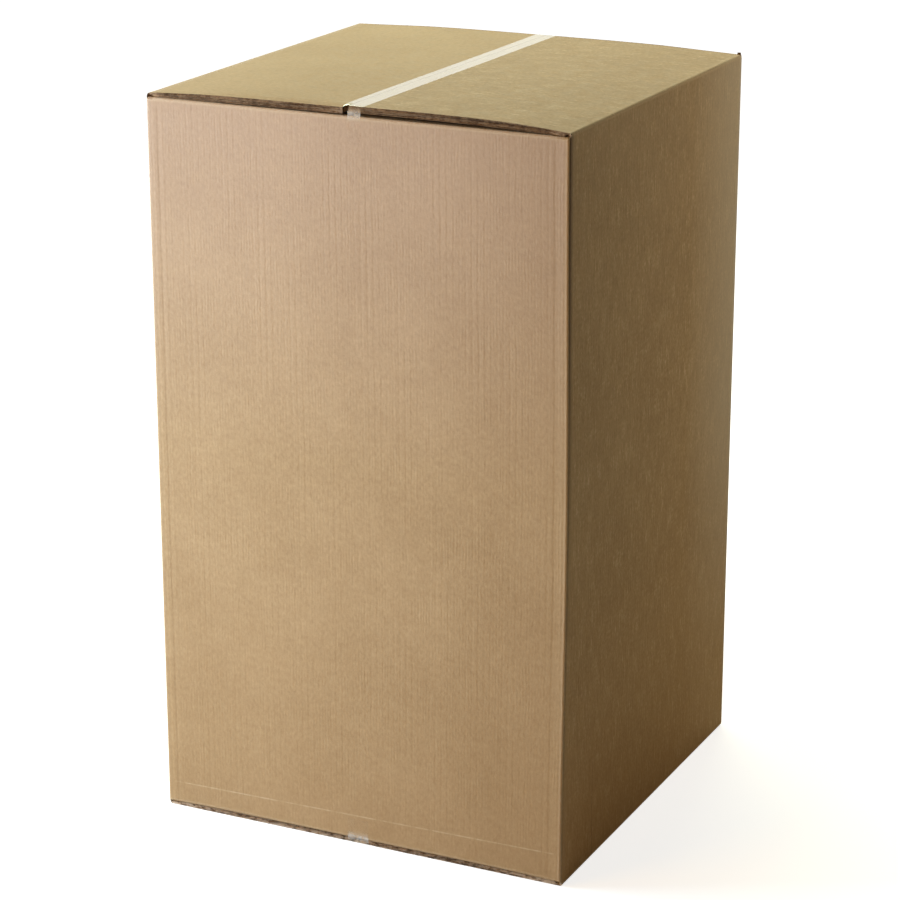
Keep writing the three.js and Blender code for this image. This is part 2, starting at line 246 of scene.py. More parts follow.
def flap_half_width(quarter):
    """Half of the width of a flap, which is where its panel's last column stands."""
    return HALF - (CORNER_RADIUS if is_outer(quarter) else BOARD + INNER_RADIUS)


def panel_columns(quarter):
    """The t of the columns of a panel, evenly spaced."""
    half = flap_half_width(quarter)
    return np.linspace(-half, half, round(2 * half / COLUMN_SPACING) + 1)


def bend(radius, centre, angle):
    """Places (t, s) on a quarter circle round a corner, from angle 0 on this panel."""
    return np.stack((centre + radius * np.sin(angle), HALF - centre - radius * np.cos(angle)), -1)


def corner_outlines(quarter):
    """The outside and inside outlines (t, s) of the corner that follows a panel."""
    quarter_turn = math.pi / 2
    inwards = HALF - BOARD
    if quarter == BACK:
        angle = np.array([1, 2, 3]) / 3 * quarter_turn
        fold = np.stack((inwards - INNER_RADIUS * (1 - np.sin(angle)), INNER_RADIUS * (1 - np.cos(angle))), -1)
        liners = np.cumsum([0, LINER, 0, C_FLUTE, 0, LINER, 0, B_FLUTE, 0])
        recess = FLUTE_RECESS * np.array([0, 0, 1, 1, 0, 0, 1, 1, 0])
        comb = np.stack((inwards + liners, CORNER_RADIUS + recess), -1)
        outside = np.concatenate((fold, comb))
    else:
        steps = np.arange(1, BEND_STEPS + 1) - (0 if is_outer(quarter) else 1)
        outside = bend(CORNER_RADIUS, HALF - CORNER_RADIUS, steps / BEND_STEPS * quarter_turn)
    share = np.arange(1, len(outside) + 1) / (len(outside) + 1)
    inside = bend(INNER_RADIUS, inwards - INNER_RADIUS, share * quarter_turn)
    return outside, inside


# %% [markdown]
# ## Relief of the liner
#
# The outside liner sinks a few hundredths of a millimetre between the flutes. Near a
# crease the flutes are crushed, a bead follows each crease, and the panels themselves are
# never quite flat. All of it is one depth, a function of the place on the blank.

# %% Relief
OUTER_FLUTE = 6.8
INNER_FLUTE = 8.2
WASHBOARD = 0.12
BEAD_DISTANCE = 7.0


def gentle(u, v, seed, spacing, terms=6):
    """A smooth random field between about -1 and 1: a sum of cosines with random
    directions and phases, whose lengths lie between spacing and 2.5 times that."""
    own = np.random.default_rng(seed)
    field = 0
    for _ in range(terms):
        angle, phase = own.uniform(0, 2 * math.pi, 2)
        length = spacing * own.uniform(1, 2.5)
        field = field + np.cos(2 * math.pi * (u * math.cos(angle) + v * math.sin(angle)) / length + phase)
    return field / math.sqrt(terms * 2)


def washboard(u, v, from_crease):
    """Depth between the flutes: two raised cosines across the flutes, one for each flute
    size, stronger here and there, and gone where the board is crushed at a crease."""
    strength = 0.75 + 0.5 * gentle(u, v * 0.35, 11, 45)
    outer = 0.5 - 0.5 * np.cos(2 * math.pi * u / OUTER_FLUTE + 0.25 * gentle(u, v, 12, 120))
    inner = 0.5 - 0.5 * np.cos(2 * math.pi * u / INNER_FLUTE)
    return WASHBOARD * strength * (0.6 * outer + 0.4 * inner) * smooth(from_crease, 0.5, 4)


def bead(from_crease):
    """A shallow groove beside each crease, where the scoring rule pressed the board."""
    return 0.1 * np.exp(-(((from_crease - BEAD_DISTANCE) / 1.6) ** 2))


def relief(u, v, from_crease, slack):
    """The whole depth of the outside liner below its true place."""
    uneven = 0.5 * slack * (1 + gentle(u, v, 13, 170)) * smooth(from_crease, 0, 70)
    return washboard(u, v, from_crease) + bead(from_crease) + uneven


# %% [markdown]
# ## Collecting the faces
#
# Each part of the skin is a rectangular grid of points. The grids share their border
# points, so they become one closed mesh when equal points are welded at the end. Every
# point keeps its place on the blank as a UV pair, in metres, so that fibres and flutes can
# run on through the folds, and its wear.

# %% A collector of grids


def quads_of(grid):
    """The four corners of each cell of a grid, in order: shape (cells, 4, ...)."""
    corners = (grid[:-1, :-1], grid[:-1, 1:], grid[1:, 1:], grid[1:, :-1])
    return np.stack(corners, axis=2).reshape(-1, 4, *grid.shape[2:])


class Skin:
    """Collects the cells of many grids and welds them into one mesh."""

    def __init__(self):
        self.places, self.uvs, self.values, self.slots = [], [], [], []
        self.rims = []

    def add(self, points, uv, value, slot=0, flip=False, keep=None):
        """Adds a grid: its points in mm, its blank coordinates in mm and its value."""
        cells = [quads_of(np.asarray(points, float)), quads_of(uv), quads_of(value)]
        if keep is not None:
            cells = [c[keep.ravel()] for c in cells]
        if flip:
            cells = [c[:, ::-1] for c in cells]
        self.places.append(cells[0])
        self.uvs.append(cells[1])
        self.values.append(cells[2])
        self.slots.append(np.full(len(cells[0]), slot))

    def add_rim(self, points, uv, slot):
        """Adds one flat face with any number of corners."""
        self.rims.append((np.asarray(points), np.asarray(uv), slot))

    def mesh(self, name, value_name, smooth_below=40):
        """Welds equal points and makes the mesh. A cell with two equal corners becomes a
        triangle, and one that is only a line or a point is left out."""
        places = np.concatenate([np.concatenate(self.places).reshape(-1, 3)] + [r[0] for r in self.rims])
        uv = np.concatenate([np.concatenate(self.uvs).reshape(-1, 2)] + [r[1] for r in self.rims])
        value = np.concatenate([np.concatenate(self.values).ravel()] + [0 * r[1][:, 0] for r in self.rims])
        slot = np.concatenate(self.slots)
        points, index = np.unique(np.round(places, 4), axis=0, return_inverse=True)
        index = index.ravel()
        cells = np.arange(4 * len(slot)).reshape(-1, 4)
        equal = index[cells] == index[np.roll(cells, -1, axis=1)]
        whole = ~equal.any(axis=1)
        triangle = equal.sum(axis=1) == 1
        loops = list(cells[whole]) + [cell[~same] for cell, same in zip(cells[triangle], equal[triangle])]
        first = 4 * len(slot)
        for rim, _, _ in self.rims:
            loops.append(np.arange(first, first + len(rim)))
            first += len(rim)
        kinds = np.concatenate((slot[whole], slot[triangle], [rim_slot for _, _, rim_slot in self.rims]))
        made = bpy.data.meshes.new(name)
        made.from_pydata((points * MM).tolist(), [], [index[loop].tolist() for loop in loops])
        order = np.concatenate(loops)
        layer = made.uv_layers.new(name="blank")
        layer.data.foreach_set("uv", (uv[order] * MM).astype(np.float32).ravel())
        wear = made.attributes.new(value_name, "FLOAT", "CORNER")
        wear.data.foreach_set("value", value[order].astype(np.float32))
        made.polygons.foreach_set("material_index", kinds.astype(np.int32))
        made.shade_smooth()
        made.set_sharp_from_angle(angle=math.radians(smooth_below))
        made.update()
        return made


# %% [markdown]
# ## The walls
#
# The walls are a closed ring of columns. Their ends follow the first points of the flap
# folds, so they are a little higher at the sides than at the front. The glued tab of the
# maker's joint thickens the left panel inside. The front right corner leans out a little.

# %% Walls
BLANK_ORDER = (LEFT, FRONT, RIGHT, BACK)  # the joint is before the left panel
WALL_GAPS = np.concatenate(([2.0, 3.5, 4.5, 6, 9], np.full(24, 28.7), [9, 6, 4.5, 3.5, 2.0]))
LINER_SHARES = np.array([1, 1 - LINER / BOARD, 1 - LINER / BOARD, (2 * LINER + C_FLUTE) / BOARD,
                         (2 * LINER + C_FLUTE) / BOARD, (LINER + C_FLUTE) / BOARD,
                         (LINER + C_FLUTE) / BOARD, LINER / BOARD, LINER / BOARD, 0])
LINER_RECESS = np.array([0, 0, 1, 1, 0, 0, 1, 1, 0, 0])
LINER_ENDS = [0, 1, 3, 5, 7, 9]


def wall_ends(quarter, top, t):
    """Heights where a wall's outside and inside liners meet the fold of the flap."""
    up = 1 if top else -1
    over, under = flap_heights(quarter, top, FOLD_RADIUS + 0 * t, BOARD + INNER_RADIUS + 0 * t, t)
    return over - up * FOLD_RADIUS, under - up * INNER_RADIUS


def ring():
    """The plan and the end heights of every column, round from the joint to the joint."""
    parts = []
    for k, quarter in enumerate(BLANK_ORDER):
        t = panel_columns(quarter)
        end = HALF - BOARD - INNER_RADIUS
        heights = [wall_ends(quarter, top, t) for top in (False, True)]
        normal = turned(quarter, 0 * t, -1 + 0 * t, 0 * t)
        parts.append({
            "quarter": quarter, "panel": True, "t": t,
            "outside": turned(quarter, t, 0 * t - HALF, 0)[:, :2],
            "inside": turned(quarter, np.clip(t, -end, end), 0 * t + BOARD - HALF, 0)[:, :2],
            "ends": heights, "normal": normal,
        })
        after = BLANK_ORDER[(k + 1) % 4]
        outside, inside = corner_outlines(quarter)
        share = np.arange(1, len(outside) + 1) / (len(outside) + 1)
        first = np.array([flap_half_width(quarter)])
        last = -np.array([flap_half_width(after)])
        heights = []
        for top in (False, True):
            a, b = wall_ends(quarter, top, first), wall_ends(after, top, last)
            heights.append((mix(a[0], b[0], share), mix(a[1], b[1], share)))
        parts.append({
            "quarter": quarter, "panel": False, "t": outside[:, 0],
            "outside": turned(quarter, outside[:, 0], outside[:, 1] - HALF, 0)[:, :2],
            "inside": turned(quarter, inside[:, 0], inside[:, 1] - HALF, 0)[:, :2],
            "ends": heights, "normal": np.zeros((len(share), 3)),
        })
    return parts


def tab_inset(columns, height):
    """How far the glued tab moves the inside liner of the left panel inwards."""
    from_end = np.minimum(height, HEIGHT - height)
    rise = np.clip((from_end - TAB_END) / TAB_BEVEL, 0, 1) * TAB_THICKNESS
    return rise * columns["tab"]


def bowed(points):
    """The lean of the front right corner: a squared sine over the height times how near
    the place is to that corner in plan."""
    height = np.sin(np.pi * points[..., 2] / HEIGHT) ** 2
    share = (0.5 + points[..., 0] / WIDTH) * (0.5 - points[..., 1] / WIDTH)
    points[..., 0] += CORNER_BOW * height * share
    return points


parts = ring()
columns = {
    "outside": np.concatenate([p["outside"] for p in parts]),
    "inside": np.concatenate([p["inside"] for p in parts]),
    "normal": np.concatenate([p["normal"] for p in parts]),
    "panel": np.concatenate([np.full(len(p["t"]), p["quarter"] if p["panel"] else -1) for p in parts]),
    "low": np.concatenate([p["ends"][0][0] for p in parts]),
    "low_inside": np.concatenate([p["ends"][0][1] for p in parts]),
    "high": np.concatenate([p["ends"][1][0] for p in parts]),
    "high_inside": np.concatenate([p["ends"][1][1] for p in parts]),
}
past_tab = np.clip((-panel_columns(LEFT) - (HALF - BOARD - TAB_WIDTH)) / TAB_BEVEL + 1, 0, 1)
tab = [past_tab]
for p in parts[1:]:
    tab.append(np.full(len(p["t"]), float(p["quarter"] == BACK and not p["panel"])))
tab[-2][-1] = 1.0
columns["tab"] = np.concatenate(tab)

steps = np.linalg.norm(np.diff(columns["outside"], axis=0, append=columns["outside"][:1]), axis=1)
columns["u"] = np.concatenate(([0], np.cumsum(steps)))[:-1]
BLANK_WIDTH = steps.sum()
column_count = len(columns["u"])
print("columns", column_count, "round a blank of", round(BLANK_WIDTH, 1), "mm")


def to_crease(u_or_t, half):
    """Distance from the nearer end of a panel."""
    return half - np.abs(u_or_t)


def wall_grid(shares):
    """Outside and inside points, blank coordinates and wear of the walls."""
    z_out = mix(columns["low"], columns["high"], shares[:, None])
    z_in = mix(columns["low_inside"], columns["high_inside"], shares[:, None])
    plan = np.broadcast_to(columns["outside"], (len(shares), column_count, 2))
    outside = np.concatenate((plan, z_out[..., None]), axis=2)
    plan = np.broadcast_to(columns["inside"], (len(shares), column_count, 2))
    inside = np.concatenate((plan, z_in[..., None]), axis=2)
    inside[..., 0] += tab_inset(columns, shares[:, None] * HEIGHT)
    across = np.concatenate([
        to_crease(p["t"], flap_half_width(p["quarter"]) + 0.5) if p["panel"] else 0 * p["t"] for p in parts
    ])
    v = z_out - FOLD_RADIUS
    along = np.minimum(z_out - columns["low"], columns["high"] - z_out)
    from_crease = np.minimum(across[None, :] + 0 * v, along)
    u = columns["u"][None, :] + 0 * v
    slack = np.array([0.5, 0.9, 1.3, 1.3, 0])[columns["panel"]]
    depth = relief(u, v, from_crease, slack)
    depth[:, columns["panel"] < 0] = 0
    outside -= columns["normal"] * depth[..., None]
    wear = np.exp(-along / 0.7)
    return bowed(outside), bowed(inside), np.stack((u, v), -1), wear


# %% [markdown]
# ## The flaps
#
# A flap starts where its wall ends, turns through a quarter circle and lies flat. Its
# points are a function of the distance from the fold and of the place across the flap.

# %% Flaps
FOLD_STEPS = 5


def flap_grid(quarter, top, rows, start):
    """Outside and inside points of a flap from its wall to its end, with the blank
    coordinates and wear. start is the pair of wall rows that it grows from."""
    t = panel_columns(quarter)[None, :]
    up = 1 if top else -1
    far = reach(quarter, top, t)
    angle = (np.arange(1, FOLD_STEPS + 1) / FOLD_STEPS * math.pi / 2)[:, None]
    inner_start = BOARD + INNER_RADIUS
    over, under = flap_heights(quarter, top, FOLD_RADIUS + 0 * t, inner_start + 0 * t, t)
    fold_s = FOLD_RADIUS * (1 - np.cos(angle)) + 0 * t
    fold_z = over - up * FOLD_RADIUS * (1 - np.sin(angle))
    inner_s = BOARD + INNER_RADIUS * (1 - np.cos(angle)) + 0 * t
    inner_z = under - up * INNER_RADIUS * (1 - np.sin(angle))
    end = HALF - BOARD - INNER_RADIUS
    inner_t = mix(np.clip(t, -end, end), t, angle / (math.pi / 2))
    strip = TAPE_WIDTH / 2 + CHANNEL_MARGIN
    last = far - strip - CHANNEL_SLOPE
    share = (np.arange(1, rows + 1) / rows)[:, None] ** 1.5
    s = np.concatenate((mix(FOLD_RADIUS, last, share), far - strip, far))
    s_in = mix(inner_start, far, (s - FOLD_RADIUS) / (far - FOLD_RADIUS))
    flat_z, flat_in_z = flap_heights(quarter, top, s, s_in, t + 0 * s)
    t_all = t + 0 * np.concatenate((fold_s, s))
    t_in = np.concatenate((inner_t, t + 0 * s))
    outside = on_panel(quarter, t_all, np.concatenate((fold_s, s)), np.concatenate((fold_z, flat_z)))
    inside = on_panel(quarter, t_in, np.concatenate((inner_s, s_in)), np.concatenate((inner_z, flat_in_z)))
    distance = np.concatenate((FOLD_RADIUS * angle + 0 * t, s + (math.pi / 2 - 1) * FOLD_RADIUS))
    v = HEIGHT + distance if top else -distance
    u = columns["u"][columns["panel"] == quarter][None, :] + 0 * v
    tilt = np.concatenate((angle + 0 * t, np.full_like(s, math.pi / 2)))
    normal = turned(quarter, 0 * tilt, -np.cos(tilt), up * np.sin(tilt))
    flat_from = np.minimum(np.maximum(distance - 1.5 * FOLD_RADIUS, 0), 400)
    side = np.minimum(to_crease(t, flap_half_width(quarter)) / 3, 1)
    slack = 0.35 if top and is_outer(quarter) else 0.0
    depth = relief(u, v, flat_from, slack) * side
    if not top or not is_outer(quarter):
        depth = washboard(u, v, flat_from) * (0.5 if is_outer(quarter) else 0) * side
    outside = outside - normal * depth[..., None]
    wear = np.exp(-flat_from / 0.7)
    uv = np.stack((u, v), -1)
    return [np.concatenate((first[None], rest)) for first, rest in zip(start, (outside, inside, uv, wear))]


def cut_lines(outside, inside, inwards, recess):
    """The comb-shaped lines across a cut edge: for each place along the edge, points from
    the outside liner to the inside one, which step back between the three liners."""
    across = inside[:, None] + LINER_SHARES[None, :, None] * (outside - inside)[:, None]
    across[:, 0], across[:, -1] = outside, inside
    return across + (recess[:, None] * LINER_RECESS)[..., None] * inwards


def add_cut(skin, lines, uv, flip):
    """Adds a cut edge as a strip of raw board."""
    coordinates = np.repeat(uv[:, None], lines.shape[1], axis=1)
    coordinates = coordinates + np.arange(lines.shape[1])[None, :, None] * np.array([0.6, 0.4])
    skin.add(lines, coordinates, np.zeros(lines.shape[:2]), slot=1, flip=flip)


# %% Build the board
WALL_SHARES = np.concatenate(([0], np.cumsum(WALL_GAPS))) / WALL_GAPS.sum()
INNER_ROWS = [0, 5, 6, 14, 21, len(WALL_SHARES) - 7, len(WALL_SHARES) - 6, len(WALL_SHARES) - 1]
board_skin = Skin()
wall_out, wall_in, wall_uv, wall_wear = wall_grid(WALL_SHARES)
closing = lambda grid: np.concatenate((grid, grid[:, :1]), axis=1)
ring_uv = closing(wall_uv)
ring_uv[:, -1, 0] = BLANK_WIDTH
board_skin.add(closing(wall_out), ring_uv, closing(wall_wear))
board_skin.add(closing(wall_in)[INNER_ROWS], ring_uv[INNER_ROWS], closing(wall_wear)[INNER_ROWS], flip=True)

for at, flip in ((-1, True), (0, False)):
    lines = cut_lines(wall_out[at], wall_in[at], np.zeros(3), np.zeros(column_count))
    lines, uv = closing(lines.transpose(1, 0, 2)).transpose(1, 0, 2), ring_uv[at]
    on_slot = np.append(columns["panel"], columns["panel"][0])
    slot_cells = (on_slot[:-1] < 0) | (on_slot[1:] != on_slot[:-1])
    keep = np.repeat(slot_cells[:, None], lines.shape[1] - 1, axis=1)
    coordinates = np.repeat(uv[:, None], lines.shape[1], axis=1)
    board_skin.add(lines, coordinates, np.zeros(lines.shape[:2]), slot=1, flip=flip, keep=keep)

cut_edges = []
for quarter in BLANK_ORDER:
    for top in (True, False):
        rows = 9 if top and is_outer(quarter) else 4
        mine = np.flatnonzero(columns["panel"] == quarter)
        row = -1 if top else 0
        start = (wall_out[row, mine], wall_in[row, mine], wall_uv[row, mine], wall_wear[row, mine])
        outside, inside, uv, wear = flap_grid(quarter, top, rows, start)
        board_skin.add(outside, uv, wear, flip=not top)
        board_skin.add(inside, uv, wear, flip=top)
        count = len(outside)
        recess = np.zeros(count)
        if is_outer(quarter):
            recess[FOLD_STEPS + 2:-1] = FLUTE_RECESS
        along = turned(quarter, 1.0, 0.0, 0.0)
        for side, inwards in ((0, along), (-1, -along)):
            lines = cut_lines(outside[:, side], inside[:, side], inwards, recess)
            add_cut(board_skin, lines, uv[:, side], flip=(side == 0) == top)
            if is_outer(quarter):
                cut_edges.append((outside[FOLD_STEPS + 1:, side], inside[FOLD_STEPS + 1:, side], inwards))
        lines = np.stack((outside[-1], inside[-1]), axis=1)
        add_cut(board_skin, lines[1:-1], uv[-1, 1:-1], flip=top)
        for side, next_to in ((0, 1), (-1, -2)):
            corner = cut_lines(outside[-1:, side], inside[-1:, side], along, np.zeros(1))[0]
            rim = np.concatenate((corner[LINER_ENDS], lines[next_to][::-1]))
            if (side == 0) == top:
                rim = rim[::-1]
            board_skin.add_rim(rim, np.repeat(uv[-1:, side], len(rim), axis=0), 1)

board_skin.places = [cells + (SHIFT_X, 0, 0) for cells in board_skin.places]
board_skin.rims = [(rim + (SHIFT_X, 0, 0), uv, slot) for rim, uv, slot in board_skin.rims]

board_mesh = board_skin.mesh("board", "wear")
board = bpy.data.objects.new("board", board_mesh)
bpy.context.scene.collection.objects.link(board)
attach(board, "root")
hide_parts("carton")
board_mesh.calc_loop_triangles()
print("board: points", len(board_mesh.vertices), "triangles", len(board_mesh.loop_triangles))

# %% [markdown]
# ## Raw edges
#
# A knife leaves double-wall board with three ragged lips of liner, and between them the
# fluted papers, cut at whatever height they happen to have there. On the flaps' side edges
# the knife ran along the flutes, so each fluted paper shows as one line that wanders
# slowly between its liners. The lips and the papers are thin closed bands along the cut.

# %% Raw edges of the outer flaps and of the joint
EDGE_STEP = 1.3
LIP_DEPTH = 1.2
PAPER = 0.24


def resampled(line, count):
    """A line of points with count points, evenly spaced along its length."""
    run = np.concatenate(([0], np.cumsum(np.linalg.norm(np.diff(line, axis=0), axis=1))))
    at = np.linspace(0, run[-1], count)
    return np.stack([np.interp(at, run, line[:, axis]) for axis in range(3)], axis=1), at


def ragged(at, seed, size):
    """Roughness of a cut along its length: two sums of cosines, one coarse and one fine."""
    fine = gentle(at, 0 * at, seed, 2.6, terms=9)
    return size * (0.6 * gentle(at, 0 * at, seed + 1, 14, terms=7) + 0.7 * fine)


def tube(skin, sections):
    """A closed tube through sections, each a loop of points. It faces outwards."""
    loop = np.concatenate((sections, sections[:, :1]), axis=1)
    spokes = sections[0] - sections[0, :1]
    turning = np.cross(spokes, np.roll(spokes, -1, axis=0)).sum(axis=0)
    if turning @ (sections[1] - sections[0]).mean(axis=0) < 0:
        loop = loop[:, ::-1]
    flat = np.stack((loop[..., 0] + loop[..., 1], loop[..., 2] + 0.3 * loop[..., 0]), -1)
    skin.add(loop, flat, np.zeros(loop.shape[:2]))
    skin.add_rim(loop[0, :0:-1], flat[0, :0:-1], 0)
    skin.add_rim(loop[-1, 1:], flat[-1, 1:], 0)


def band(skin, outer, inner, inwards, shares, depths):
    """A closed band along a cut edge. Its section is a loop of places, each a share of the
    way from the inside liner to the outside one and a depth from the cut."""
    tube(skin, inner[:, None] + shares[..., None] * (outer - inner)[:, None] + depths[..., None] * inwards)


edge_skin = Skin()
joint = wall_out[:, 0]
cut_edges.append((joint, joint + (BOARD, 0, 0), turned(LEFT, 1.0, 0.0, 0.0)))
liner_spans = ((0, LINER), (LINER + C_FLUTE, 2 * LINER + C_FLUTE), (BOARD - LINER, BOARD))
flute_spans = ((LINER, LINER + C_FLUTE, INNER_FLUTE), (2 * LINER + C_FLUTE, BOARD - LINER, OUTER_FLUTE))
for number, (outer_line, inner_line, inwards) in enumerate(cut_edges):
    length = np.linalg.norm(np.diff(outer_line, axis=0), axis=1).sum()
    count = round(length / EDGE_STEP)
    outer, at = resampled(outer_line, count)
    inner, _ = resampled(inner_line, count)
    for k, (low, high) in enumerate(liner_spans):
        out_by = 0.15 + np.abs(ragged(at, 100 + 10 * number + k, 0.22))
        sway = ragged(at, 400 + 10 * number + k, 0.05)
        shares = np.stack((low + 0.03 + sway, high - 0.03 + sway, high - 0.03 + 0 * at, low + 0.03 + 0 * at), 1)
        depths = np.stack((-out_by, -0.7 * out_by, LIP_DEPTH + 0 * at, LIP_DEPTH + 0 * at), 1)
        band(edge_skin, outer, inner, inwards, shares / BOARD, depths)
    for k, (low, high, pitch) in enumerate(flute_spans):
        depth = np.linspace(0.1, FLUTE_RECESS - 0.05, 5)[None, :] + 0 * at[:, None]
        depth[:, 0] += np.abs(ragged(at, 700 + 10 * number + k, 0.3))
        phase = 1.3 * number + 2.1 * k + 2 * math.pi * at / 340 + 0.5 * gentle(at, 0 * at, 900 + number, 60)
        swing = (high - low - PAPER) / 2
        centre = (low + high) / 2 + swing * np.sin(2 * math.pi * depth / pitch + phase[:, None])
        shares = np.concatenate((centre - PAPER / 2, (centre + PAPER / 2)[:, ::-1]), axis=1) / BOARD
        depths = np.concatenate((depth, depth[:, ::-1]), axis=1)
        band(edge_skin, outer, inner, inwards, shares, depths)


def shifted(skin):
    """Moves a skin from the blank's own middle to the model's origin."""
    skin.places = [cells + (SHIFT_X, 0, 0) for cells in skin.places]
    skin.rims = [(rim + (SHIFT_X, 0, 0), uv, slot) for rim, uv, slot in skin.rims]
    return skin


def piece(name, mesh, slot, *replaced):
    """Puts a mesh in the scene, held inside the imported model's box, on its one body."""
    points = np.empty(3 * len(mesh.vertices), dtype=np.float32)
    mesh.vertices.foreach_get("co", points)
    mesh.vertices.foreach_set("co", np.clip(points.reshape(-1, 3), CAD_BOX[0], CAD_BOX[1]).astype(np.float32).ravel())
    mesh.update()
    made = bpy.data.objects.new(name, mesh)
    bpy.context.scene.collection.objects.link(made)
    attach(made, "root")
    if replaced:
        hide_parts(*replaced)
    mesh.calc_loop_triangles()
    print(name, "has", len(mesh.loop_triangles), "triangles")
    return made


raw_edges = piece("raw_edges", shifted(edge_skin).mesh("raw_edges", "wear"), "kraft_board")

# %% Crushed liner at the corners
# The slot between two flaps ends in a small web of liner that was crushed with the fold.
WEB_ANGLES = np.linspace(0, math.pi / 2, 7)
web_skin = Skin()
for quarter in (FRONT, BACK):
    for top in (True, False):
        for side in (-1, 1):
            start = flap_half_width(quarter) - 0.3
            t = np.array([start, start + 1.8, start + 3.6, HALF - CORNER_RADIUS, HALF - 2.1, HALF - 1.3])
            past = np.maximum(t - (HALF - CORNER_RADIUS), 0)
            corner_s = CORNER_RADIUS - np.sqrt(CORNER_RADIUS ** 2 - past ** 2)
            z_start = wall_ends(quarter, top, np.array([side * flap_half_width(quarter)]))[0][0]
            radius = (FOLD_RADIUS - corner_s)[:, None]
            arc_s = corner_s[:, None] + radius * (1 - np.cos(WEB_ANGLES))
            arc_z = z_start + (1 if top else -1) * radius * np.sin(WEB_ANGLES)
            back_s = np.full((len(t), 1), FOLD_RADIUS)
            s_all = np.concatenate((arc_s, back_s), axis=1)
            z_all = np.concatenate((arc_z, np.full_like(back_s, z_start)), axis=1)
            tube(web_skin, on_panel(quarter, side * t[:, None] + 0 * s_all, s_all, z_all))
corner_webs = piece("corner_webs", shifted(web_skin).mesh("corner_webs", "wear"), "kraft_board")

# A scrap of torn board stands up at the back right corner.
scrap_skin = Skin()
rise = np.linspace(0, 1, 9)
out = 231.3 + 1.0 * np.sin(rise * 1.9)
middle = np.stack((out, out - 0.6, 784.5 + 7.9 * rise), -1)
width = 2.7 * (1 - 0.3 * rise ** 2) + 0.25 * np.cos(11 * rise)
thick = np.full_like(rise, 0.45)
along, outward = np.array([0.9, 0.43, 0]), np.array([-0.43, 0.9, 0])
loops = [middle + a * width[:, None] * along + b * thick[:, None] * outward for a, b in ((-1, -1), (1, -1), (1, 1), (-1, 1))]
tube(scrap_skin, np.stack(loops, axis=1))
corner_scrap = piece("corner_scrap", shifted(scrap_skin).mesh("corner_scrap", "wear"), "kraft_board")

# %% [markdown]
# ## The tape
#
# Clear packing tape is a film a few hundredths of a millimetre thick. The top one was laid
# along the seam and has split there, so it is two strips side by side. At the front the
# left one ends at the flap's crushed edge, and the right one bridges the dark gap and runs
# down the panel. The film is a grid: one parameter runs along the tape and one across.

# %% Tape
FILM_LOW = 0.05
FILM_HIGH = 0.12
FILM_TOP = 0.19
FILM_STEP = 2.0
FILM_HALF = 11.9
TAPE_X_FRONT = 0.8
TAPE_X_BACK = 3.0
FILM_COLUMNS = 13


def tape_path(corners):
    """A line in y and z through corners, with small curves where it turns. Gives the line,
    its normals and the length along it. Rows lie closer where the tape bends."""
    line = np.concatenate((0 * corners[:, :1], corners), axis=1)
    length = np.linalg.norm(np.diff(line, axis=0), axis=1).sum()
    fine, at = resampled(line, round(length / (FILM_STEP / 8)))
    kernel = np.hanning(9) / np.hanning(9).sum()
    soft = np.stack([np.convolve(np.pad(fine[:, k], 4, mode="reflect", reflect_type="odd"), kernel, "valid") for k in (1, 2)], 1)
    close = np.abs(np.abs(soft[:, 0]) - HALF) < 14
    keep = np.flatnonzero(close & (np.arange(len(soft)) % 3 == 0) | (np.arange(len(soft)) % 16 == 0))
    keep = np.unique(np.append(keep, len(soft) - 1))
    direction = np.gradient(soft, axis=0)
    direction /= np.linalg.norm(direction, axis=1)[:, None]
    return soft[keep], np.stack((-direction[:, 1], direction[:, 0]), 1)[keep], at[keep]


def film(skin, path, normals, at, left, right, drop, side, seed, z_turn):
    """Adds one closed strip between its left and right edges, functions of the path."""
    across = np.linspace(0, 1, FILM_COLUMNS)[None, :]
    x = mix(left[:, None], right[:, None], across)
    waves = np.abs(0.03 * gentle(x * 3, at[:, None], seed, 30) + 0.02 * gentle(x, at[:, None] * 0.2, seed + 1, 9))
    from_turn = np.hypot(np.abs(path[:, :1]) - HALF + 1, path[:, 1:] - z_turn)
    bend = np.exp(-((from_turn / 4.5) ** 2))
    puff = 0.05 * bend * (1 + np.sin(x * 1.9 + seed))
    low, high = [], []
    for height, grid in ((FILM_LOW, low), (FILM_HIGH, high)):
        away = np.minimum(height + (waves + puff) * (height > FILM_LOW), FILM_TOP) * side
        y = path[:, :1] + normals[:, :1] * away
        z = path[:, 1:] + normals[:, 1:] * away - drop(x, path[:, :1])
        grid.append(np.stack(np.broadcast_arrays(x + SHIFT_X, y, z), -1))
    low, high = low[0], high[0]
    uv = np.stack(np.broadcast_arrays(x, at[:, None]), -1)
    loose = np.broadcast_to(bend, x.shape)
    skin.add(high, uv, loose, flip=side < 0)
    skin.add(low, uv, loose, flip=side > 0)
    for edge, flip in ((0, side < 0), (-1, side > 0)):
        skin.add(np.stack((low[:, edge], high[:, edge]), 1), uv[:, [edge, edge]], loose[:, [edge, edge]], flip=flip)
        skin.add(np.stack((low[edge], high[edge])), uv[[edge, edge]], loose[[edge, edge]], flip=flip)


def seam_height(y):
    """Height of the outside liner beside the top seam."""
    return flap_heights(RIGHT, True, HALF + 0 * y, HALF + 0 * y, y)[0]


